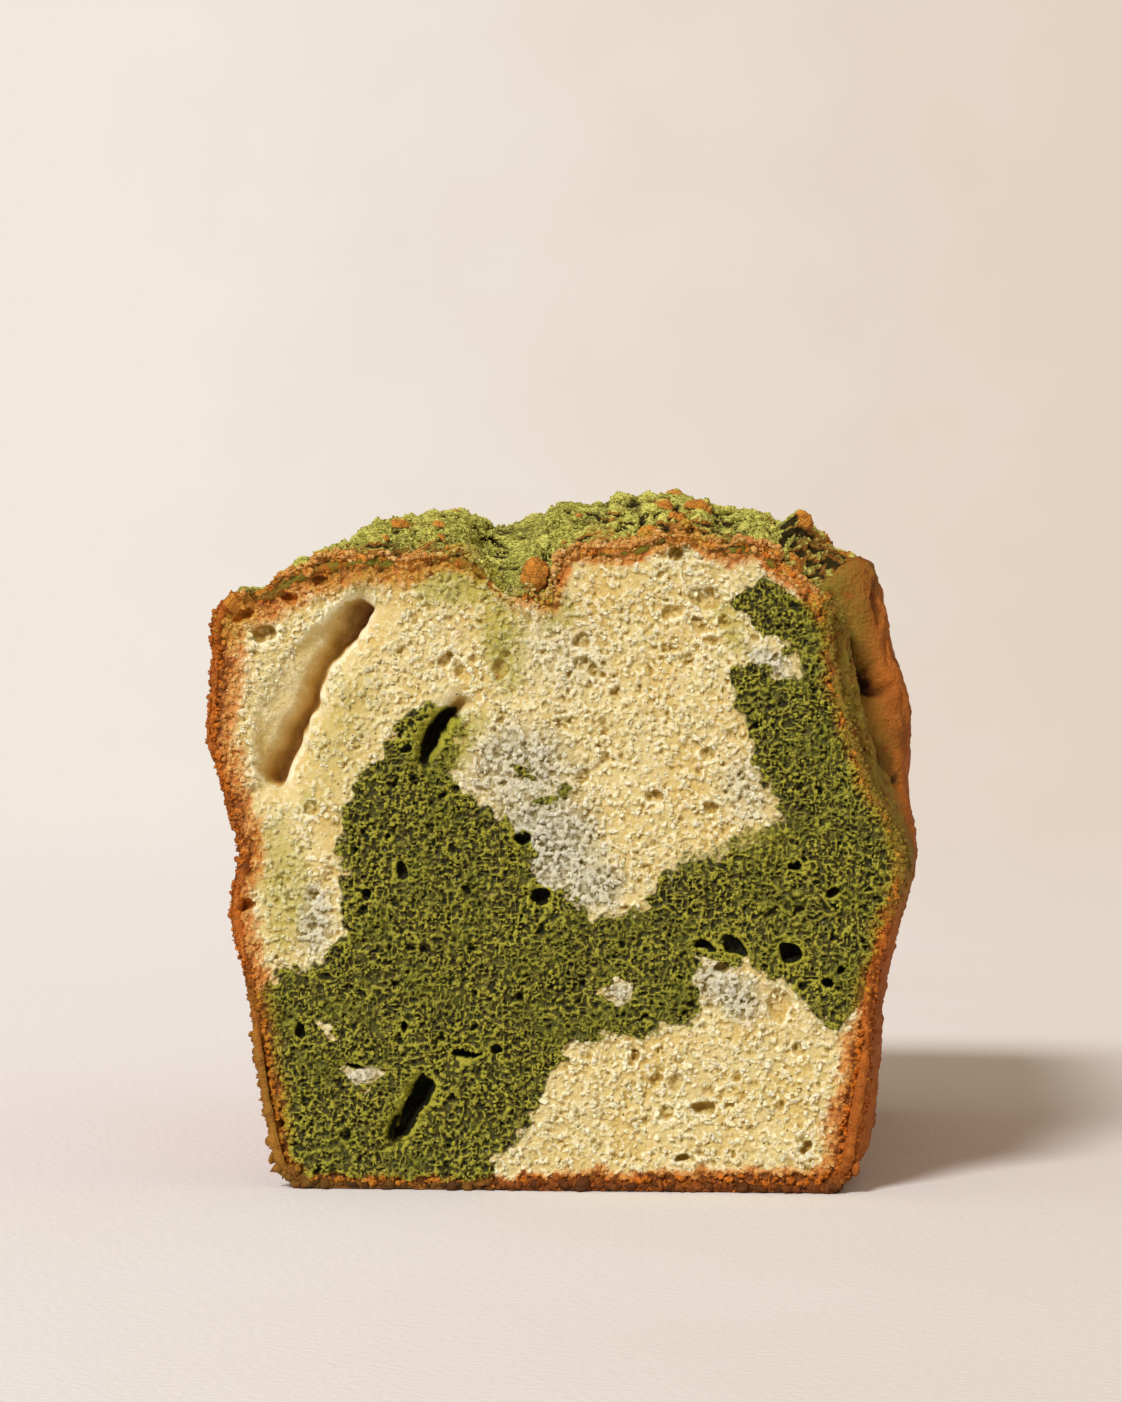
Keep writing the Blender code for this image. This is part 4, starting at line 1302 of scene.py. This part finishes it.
class LOAF_OT_crown(bpy.types.Operator):
    """Model the crown, finely in front and plainly behind: lumps and creases under powder"""

    bl_idname = "loaf.crown"
    bl_label = "Powdered Crown"

    # Rows of the front's lip, turned in at the cut: how far inside the crown, how far behind.
    LIP = ((2.4, 3.2), (1.5, 1.3), (0.8, 0.5), (0.3, 0.2))

    def execute(self, context):
        sizes = context.scene.loaf_sizes
        finish = crown_finish(context.scene.loaf_colours)
        spacing = sizes.crown_spacing / MM
        middle = sizes.crown_split / MM
        front = np.concatenate((np.arange(0.25, 9.0, spacing), np.arange(9.0, middle + 1.0, spacing * 1.6)))
        back = np.arange(middle, LENGTH - 8.0, spacing * 2.2)
        self.model("crown_front", spacing, front, self.LIP, sizes.crag_relief / MM, finish)
        self.model("crown_back", spacing * 1.9, back, (), sizes.crag_relief / MM, finish)
        return {"FINISHED"}

    def model(self, name, spacing, rows, lip, height, finish):
        """One length of the crown, from rows behind the knife, with a lip turned in at the cut."""
        left, right = shoulders()
        angles = outline_angles(left, right, spacing)
        reach = wrap_rows(angles, rows, 8, False)
        size = np.concatenate(([reach[0] - inset for inset, _ in lip], reach)) if lip else reach
        behind = np.concatenate(([back for _, back in lip], rows))
        across = HEART[0] + size * np.cos(angles)
        up = HEART[1] + size * np.sin(angles)
        deep = np.broadcast_to(behind[:, None], across.shape)
        places = np.stack((across, KNIFE + deep, up), axis=2)
        inner = np.stack((across * 0.6, KNIFE + 10.0 + 0.8 * deep, up * 0.6), axis=2)
        ways = outward(places, inner)

        beside = np.minimum(np.arange(len(angles)), np.arange(len(angles))[::-1]) * spacing
        border = smooth_step(beside, 0.0, 3.5)[None, :] * smooth_step(deep, LENGTH - 8.0, LENGTH - 15.0)
        rise, values = self.relief(places.reshape(-1, 3), height)
        rise = rise.reshape(across.shape) * border
        values["lit"] = exposure(rise, spacing).ravel()
        turned_in = np.repeat(np.arange(len(behind)) < len(lip), len(angles))
        # The turned-in lip gets no powder and no painted crease shade, a middling painted light and a
        # browned tone.
        for value, number in (("powder", 0.0), ("crease_shade", 0.0), ("tone", 0.9), ("lit", 0.6)):
            values[value] = np.where(turned_in, number, values[value])
        points = places + ways * (rise - 0.9 * (1.0 - border))[:, :, None]
        facing = outward(points, inner)[:, :, 2].ravel()
        values["powder"] = values["powder"] + 0.8 * (values["lit"] - 0.5) + 0.25 * (facing - 0.6)

        made, order = sheet(name, points)

        def tuck(border_points):
            """The border drawn in toward the heart of the cake."""
            drawn = border_points.copy()
            drawn[:, 0] *= 0.9
            drawn[:, 2] = HEART[1] + (drawn[:, 2] - HEART[1]) * 0.82
            drawn[:, 1] = KNIFE + CROWN_TUCK + (drawn[:, 1] - KNIFE) * 0.9
            return drawn

        count = close_behind(made, tuck)
        for value, numbers in values.items():
            carried = np.zeros(len(made.data.vertices))
            carried[:count] = numbers[order]
            write_values(made, value, carried)
        finish_piece(made, "green_dusting", finish)

    def relief(self, points, height):
        """Lumps of the crown, and where powder, bare crust and creases lie."""
        loose = stirred(points, 2.4, 0.7, 231)
        lumps, tone = balls(loose, 3.8, 0.7, 241, 0.2, 0.46)
        knots, small_tone = balls(loose, 1.6, 0.7, 251, 0.2, 0.45)
        beads, _ = balls(points, 0.75, 0.9, 261, 0.3, 0.52)
        drawn = stirred(points * (0.6, 1.0, 1.0), 1.3, 0.4, 265)
        curls = np.maximum(threads(drawn, 1.2, 267, 0.4), threads(drawn, 0.75, 269, 0.4))
        folds = waves(points, 5.0, 271, 2)
        cracks = threads(stirred(points, 3.0, 1.0, 273), 6.0, 275, 0.12)
        rise = 0.75 * lumps + 0.5 * knots + 0.75 * beads + 0.6 * curls + 0.6 * folds - 1.0 * cracks
        rise = height * rise - 0.55
        low = smooth_step(rise, 0.25, -0.5)
        across, behind = points[:, 0], points[:, 1] - KNIFE
        seen = across + CRACK_DRIFT * behind
        dip, ridge = (
            most * np.exp(-(((seen - middle) / half_width) ** 2))
            for middle, half_width, most in (CRACK_DIP, CRACK_RIDGE)
        )
        rise = rise - (dip - ridge) * smooth_step(behind, 4.0, 12.0)
        front = smooth_step(behind, 8.0, 0.5)
        patch = waves(points, 5.0, 281, 2)
        crack = np.exp(-(((seen + 6.0) / 5.5) ** 2))
        valley = crack * smooth_step(behind, 16.0, 3.0)
        powder = 0.62 + 0.3 * patch - 0.35 * front * (1.0 - valley) + 0.75 * crack
        powder = powder - 0.6 * smooth_step(tone, 0.5, 0.75) * (1.0 - crack)
        powder = powder - 0.3 * smooth_step(points[:, 0], 26.0, 34.0)
        values = {
            "powder": powder,
            "tone": np.clip(0.6 * tone + 0.4 * small_tone, 0.0, 1.0),
            # Painted shade in low places and along the crack's valley.
            "crease_shade": np.maximum(low, 0.5 * valley),
        }
        return rise, values


class LOAF_OT_knob(bpy.types.Operator):
    """Model the knob of browned crust that stands in the crack"""

    bl_idname = "loaf.knob"
    bl_label = "Knob of Crust"

    # Its middle: across, behind the knife, and up.
    PLACE = (-3.4, 1.3, 77.2)

    def execute(self, context):
        radius = context.scene.loaf_sizes.knob_radius / MM
        deselect()
        bpy.ops.mesh.primitive_ico_sphere_add(subdivisions=5, radius=1.0)
        made = bpy.context.object
        made.name = made.data.name = "crust_knob"
        ways = read_points(made)
        points = ways * (radius * 0.85, radius, radius * 1.2)
        lumps, tone = balls(points + 50.0, 1.5, 0.9, 291, 0.3, 0.5)
        beads, _ = balls(points + 50.0, 0.6, 0.9, 301, 0.3, 0.5)
        points = points + ways * (0.6 * lumps + 0.4 * beads)[:, None]
        write_points(made, points + np.array(self.PLACE) + (0.0, KNIFE, 0.0))
        write_values(made, "tone", np.clip(0.7 + 0.4 * (tone - 0.5), 0.0, 1.0))
        write_values(made, "powder", smooth_step(points[:, 1], 0.5, 2.5) * 0.8)
        # No painted crease shade on the knob; its painted light follows its lumps.
        write_values(made, "crease_shade", np.zeros(len(points)))
        write_values(made, "lit", np.clip(0.4 + 0.35 * lumps + 0.35 * beads, 0.0, 1.0))
        finish_piece(made, "crust", bpy.data.materials["powdered_crown"])
        return {"FINISHED"}


def scatter(name, places, ways, radii, values, seed):
    """Many small rough chips in one mesh, each at a place, sunk a little into the surface."""
    deselect()
    bpy.ops.mesh.primitive_ico_sphere_add(subdivisions=1, radius=1.0)
    pattern = bpy.context.object
    shape = read_points(pattern)
    faces = np.array([tuple(face.vertices) for face in pattern.data.polygons])
    bpy.data.objects.remove(pattern)
    count, corners = len(places), len(shape)
    key = np.arange(count)[:, None]
    rough = 1.0 + 0.7 * (chance(np.arange(count * corners)[:, None], seed) - 0.5)
    squash = 0.4 + 0.9 * np.stack([chance(key, seed + axis) for axis in (1, 2, 3)], axis=1)
    points = shape[None] * squash[:, None, :] * rough.reshape(count, corners, 1)
    for first, second, turn_seed in ((0, 2, 4), (0, 1, 5)):
        turn = chance(key, seed + turn_seed)[:, None] * math.tau
        along, beside = points[:, :, first].copy(), points[:, :, second].copy()
        points[:, :, first] = along * np.cos(turn) - beside * np.sin(turn)
        points[:, :, second] = along * np.sin(turn) + beside * np.cos(turn)
    points = points * radii[:, None, None] + (places + ways * radii[:, None] * 0.2)[:, None, :]
    points[:, :, 2] = np.maximum(points[:, :, 2], 0.0)
    mesh = bpy.data.meshes.new(name)
    all_faces = (faces[None] + (np.arange(count) * corners)[:, None, None]).reshape(-1, 3)
    mesh.from_pydata((points.reshape(-1, 3) * MM).tolist(), [], all_faces.tolist())
    made = bpy.data.objects.new(name, mesh)
    bpy.context.scene.collection.objects.link(made)
    for value, numbers in values.items():
        write_values(made, value, np.repeat(numbers, corners))
    return made


def picked(chosen, count, seed):
    """A repeatable random choice of so many of the places that the array marks."""
    places = np.flatnonzero(chosen)
    return places[np.argsort(chance(places[:, None], seed))][:count]


class LOAF_OT_grains(bpy.types.Operator):
    """Scatter loose crumbs over the cut and the cut crust, and powder over the crown"""

    bl_idname = "loaf.grains"
    bl_label = "Loose Grains"

    # Grains at the foot of the skin's rim, besides those that lie all round it.
    FOOT_GRAINS = 1800

    def execute(self, context):
        sizes = context.scene.loaf_sizes
        radius = sizes.grain_radius / MM
        self.crumbs(sizes, radius)
        self.rim(sizes, radius)
        self.skin(sizes, radius)
        self.powder(sizes, radius, powder_finish(context.scene.loaf_colours))
        return {"FINISHED"}

    def crumbs(self, sizes, radius):
        """Loose grains of vanilla, green and crust on the cut, where it stands out most."""
        cut = [self.surface(name, CRUMB_VALUES) for name, _ in CRUMB_PIECES]
        points = np.concatenate([part[0] for part in cut])
        values = {key: np.concatenate([part[1][key] for part in cut]) for key in CRUMB_VALUES}
        raised = (points[:, 1] < KNIFE + 1.6) & (values["lit"] > 0.5) & (values["calm"] < 0.4)
        baked, green = values["baked"], values["green"]
        kinds = (
            ("vanilla_grains", "vanilla_crumb", (baked < 0.4) & (green < 0.35), sizes.vanilla_grains, 1.0),
            ("green_grains", "green_crumb", (baked < 0.4) & (green > 0.6), sizes.green_grains, 0.8),
            ("crust_grains", "crust", baked > 0.35, sizes.crust_grains, 0.9),
        )
        for number, (name, slot, chosen, count, scale) in enumerate(kinds):
            places = picked(raised & chosen, count, 311 + number)
            key = places[:, None]
            radii = radius * scale * (0.5 + 1.1 * chance(key, 321 + number) ** 2)
            ways = np.tile((0.0, -1.0, 0.0), (len(places), 1))
            carried = {value: values[value][places] for value in CRUMB_VALUES}
            carried["tone"] = chance(key, 331 + number)
            carried["lit"] = 0.62 + 0.2 * carried["tone"]
            made = scatter(name, points[places], ways, radii, carried, 341 + 9 * number)
            finish_piece(made, slot, bpy.data.materials["marbled_crumb"])
            made.data.shade_flat()

    def rim(self, sizes, radius):
        """Browned grains along the crown's front edge, green in the crack."""
        points, _ = self.surface("crown_front", ())
        spread = KNIFE + 1.2 + 2.4 * smooth_step(waves(points, 4.0, 385, 2), -0.1, 0.5)
        chosen = (points[:, 1] < spread) & (points[:, 1] > KNIFE - 1.0) & (points[:, 2] > 70.0)
        chosen &= waves(points, 5.0, 369, 2) > -0.5
        places = picked(chosen, sizes.rim_grains, 371)
        points = points[places]
        key = places[:, None]
        radii = radius * (0.7 + 1.3 * chance(key, 373) ** 3)
        ways = np.tile((0.0, -0.8, 0.6), (len(places), 1))
        carried = {value: np.zeros(len(places)) for value in CRUMB_VALUES}
        carried["tone"] = chance(key, 375)
        carried["lit"] = 0.45 + 0.35 * chance(key, 377)
        crack = at_crack(points[:, (0, 2)])
        carried["baked"] = (0.35 + 0.3 * chance(key, 379)) * (1.0 - 0.8 * crack)
        carried["green"] = 0.6 * crack
        carried["moss"] = np.maximum(crack, smooth_step(waves(points, 3.5, 383, 2), -0.1, 0.4))
        made = scatter("rim_grains", points, ways, radii, carried, 381)
        finish_piece(made, "crust", bpy.data.materials["marbled_crumb"])

    def skin(self, sizes, radius):
        """Grains round the skin's rim, more of them at its lip and at its foot."""
        points, values = self.surface("skin_front", SKIN_VALUES)
        chosen = (points[:, 1] < KNIFE + 5.0) & (points[:, 1] > KNIFE + 0.2) & (points[:, 2] > 0.3)
        chosen &= np.hypot(*(points[:, (0, 2)] - HEART).T) > 33.0
        foot = chosen & (points[:, 2] < 2.5) & (points[:, 1] < KNIFE + 2.0)
        places = np.unique(np.concatenate((
            picked(chosen, sizes.skin_grains, 391),
            picked(foot, self.FOOT_GRAINS, 397),
            picked(chosen & (points[:, 1] < KNIFE + 1.4), sizes.skin_grains, 399),
        )))
        key = places[:, None]
        ways = points[places] - np.array((HEART[0], KNIFE + 3.0, HEART[1]))
        ways /= np.linalg.norm(ways, axis=1, keepdims=True)
        low = smooth_step(points[places, 2], 6.0, 1.5)
        radii = radius * (0.6 + 1.1 * chance(key, 393) ** 2) * (1.0 + 1.5 * low)
        carried = {value: numbers[places] for value, numbers in values.items()}
        carried["pit"] = 0.7 * chance(key, 394) ** 2
        made = scatter("skin_grains", points[places], ways, radii, carried, 395)
        finish_piece(made, "crust", bpy.data.materials["browned_skin"])

    def powder(self, sizes, radius, finish):
        """Clumps of powder on the parts of the crown that face up, fewer on its back length."""
        for number, name in enumerate(("crown_front", "crown_back")):
            points, values = self.surface(name, ("powder",))
            normals = np.empty(len(points) * 3)
            bpy.data.objects[name].data.vertices.foreach_get("normal", normals)
            normals = normals.reshape(-1, 3)
            chosen = (values["powder"] > 0.5) & (normals[:, 2] > 0.2)
            places = picked(chosen, sizes.powder_grains // (1 + number), 401 + number)
            key = places[:, None]
            radii = radius * 0.6 * (0.5 + 0.9 * chance(key, 411) ** 2)
            tones = {"tone": chance(key, 421)}
            made = scatter(name + "_powder", points[places], normals[places], radii, tones, 431 + number)
            finish_piece(made, "green_dusting", finish)

    def surface(self, piece, names):
        """A piece's points, and some of the numbers that they carry."""
        made, values = bpy.data.objects[piece], {}
        for name in names:
            numbers = np.empty(len(made.data.vertices))
            made.data.attributes[name].data.foreach_get("value", numbers)
            values[name] = numbers
        return read_points(made) / MM, values


class LOAF_OT_stage(bpy.types.Operator):
    """Set the camera, the floor and the light"""

    bl_idname = "loaf.stage"
    bl_label = "Stage"

    def execute(self, context):
        colours = context.scene.loaf_colours
        self.camera(context.scene)
        self.floor(colours)
        self.key_light(context.scene)
        self.room(context.scene, colours)
        context.scene.view_settings.view_transform = "Standard"
        return {"FINISHED"}

    def camera(self, scene):
        """A long lens, nearly level with the cake, a little to its right."""
        camera = bpy.data.objects.new("camera", bpy.data.cameras.new("camera"))
        scene.collection.objects.link(camera)
        azimuth, elevation = math.radians(VIEW_AZIMUTH), math.radians(VIEW_ELEVATION)
        back = Vector((
            math.sin(azimuth) * math.cos(elevation),
            -math.cos(azimuth) * math.cos(elevation),
            math.sin(elevation),
        ))
        aim = Vector((0.0, KNIFE, FRAME_MIDDLE_HEIGHT)) * MM
        camera.location = aim + back * VIEW_DISTANCE * MM
        camera.rotation_euler = (-back).to_track_quat("-Z", "Y").to_euler()
        camera.data.sensor_width = SENSOR
        camera.data.lens = PIXELS_PER_MM * VIEW_DISTANCE * SENSOR / FRAME_HEIGHT
        scene.camera = camera

    def floor(self, colours):
        """A round floor whose rim fades into the backdrop."""
        deselect()
        bpy.ops.mesh.primitive_circle_add(vertices=96, radius=1.0, fill_type="NGON", location=(0, 0, 0))
        floor = bpy.context.object
        floor.name = floor.data.name = "floor"
        bpy.ops.object.mode_set(mode="EDIT")
        bpy.ops.mesh.inset(thickness=0.5, depth=0.0)
        bpy.ops.object.mode_set(mode="OBJECT")
        floor.data.materials.append(floor_finish(colours))

    def key_light(self, scene):
        """A soft sun from the front left and above."""
        key = bpy.data.lights.new("key", "SUN")
        key.energy = KEY_STRENGTH
        key.angle = math.radians(KEY_ANGLE)
        key.color = paint(*KEY_COLOUR)
        lamp = bpy.data.objects.new("key", key)
        lamp.rotation_euler = (-Vector(LIGHT_FROM)).to_track_quat("-Z", "Y").to_euler()
        scene.collection.objects.link(lamp)

    def room(self, scene, colours):
        """A pale room all round: a plaster wall to the camera, and an even light on the cake."""
        scene.world = bpy.data.worlds.new("room")
        nodes = Nodes(scene.world)
        nodes.tree.nodes.clear()
        way = nodes.add("ShaderNodeTexCoord", "Generated")
        across = nodes.add("ShaderNodeSeparateXYZ", "X", {0: way})
        plaster = {"Vector": way, "Scale": PLASTER_SCALE, "Detail": PLASTER_DETAIL}
        marks = nodes.add("ShaderNodeTexNoise", 0, plaster)
        start, end = BACKDROP_TURN
        side = {"Value": across + marks * PLASTER_STRENGTH, "From Min": start, "From Max": end}
        fade = nodes.add("ShaderNodeMapRange", 0, side)
        wall = nodes.mix(fade, colours.backdrop_light, colours.backdrop_dark)
        seen = nodes.add("ShaderNodeBackground", 0, {"Color": wall})
        light = {"Color": paint(*ROOM_COLOUR), "Strength": ROOM_STRENGTH}
        felt = nodes.add("ShaderNodeBackground", 0, light)
        camera = nodes.add("ShaderNodeLightPath", "Is Camera Ray")
        choice = nodes.add("ShaderNodeMixShader", 0, {0: camera, 1: felt, 2: seen})
        output = nodes.tree.nodes.new("ShaderNodeOutputWorld")
        nodes.feed(output.inputs["Surface"], choice)


class LOAF_PT_panel(bpy.types.Panel):
    """The sidebar's list of the loaf's settings and pieces"""

    bl_label = "Marble Loaf"
    bl_idname = "LOAF_PT_panel"
    bl_space_type = "VIEW_3D"
    bl_region_type = "UI"
    bl_category = "Marble Loaf"

    def draw(self, context):
        for group in (context.scene.loaf_sizes, context.scene.loaf_colours):
            box = self.layout.box()
            for name in group.__annotations__:
                box.prop(group, name)
        for operator in PIECES:
            self.layout.operator(operator.bl_idname)


PIECES = (
    LOAF_OT_stage, LOAF_OT_crumb, LOAF_OT_skin, LOAF_OT_crown, LOAF_OT_knob, LOAF_OT_grains,
)
CLASSES = (LoafSizes, LoafColours, *PIECES, LOAF_PT_panel)


def register():
    """Adds the settings, the operators and the panel."""
    for item in CLASSES:
        bpy.utils.register_class(item)
    bpy.types.Scene.loaf_sizes = bpy.props.PointerProperty(type=LoafSizes)
    bpy.types.Scene.loaf_colours = bpy.props.PointerProperty(type=LoafColours)


def unregister():
    """Takes them away again."""
    del bpy.types.Scene.loaf_sizes
    del bpy.types.Scene.loaf_colours
    for item in reversed(CLASSES):
        bpy.utils.unregister_class(item)


def main():
    register()
    for operator in PIECES:
        group, name = operator.bl_idname.split(".")
        getattr(getattr(bpy.ops, group), name)()


if __name__ == "__main__":
    main()
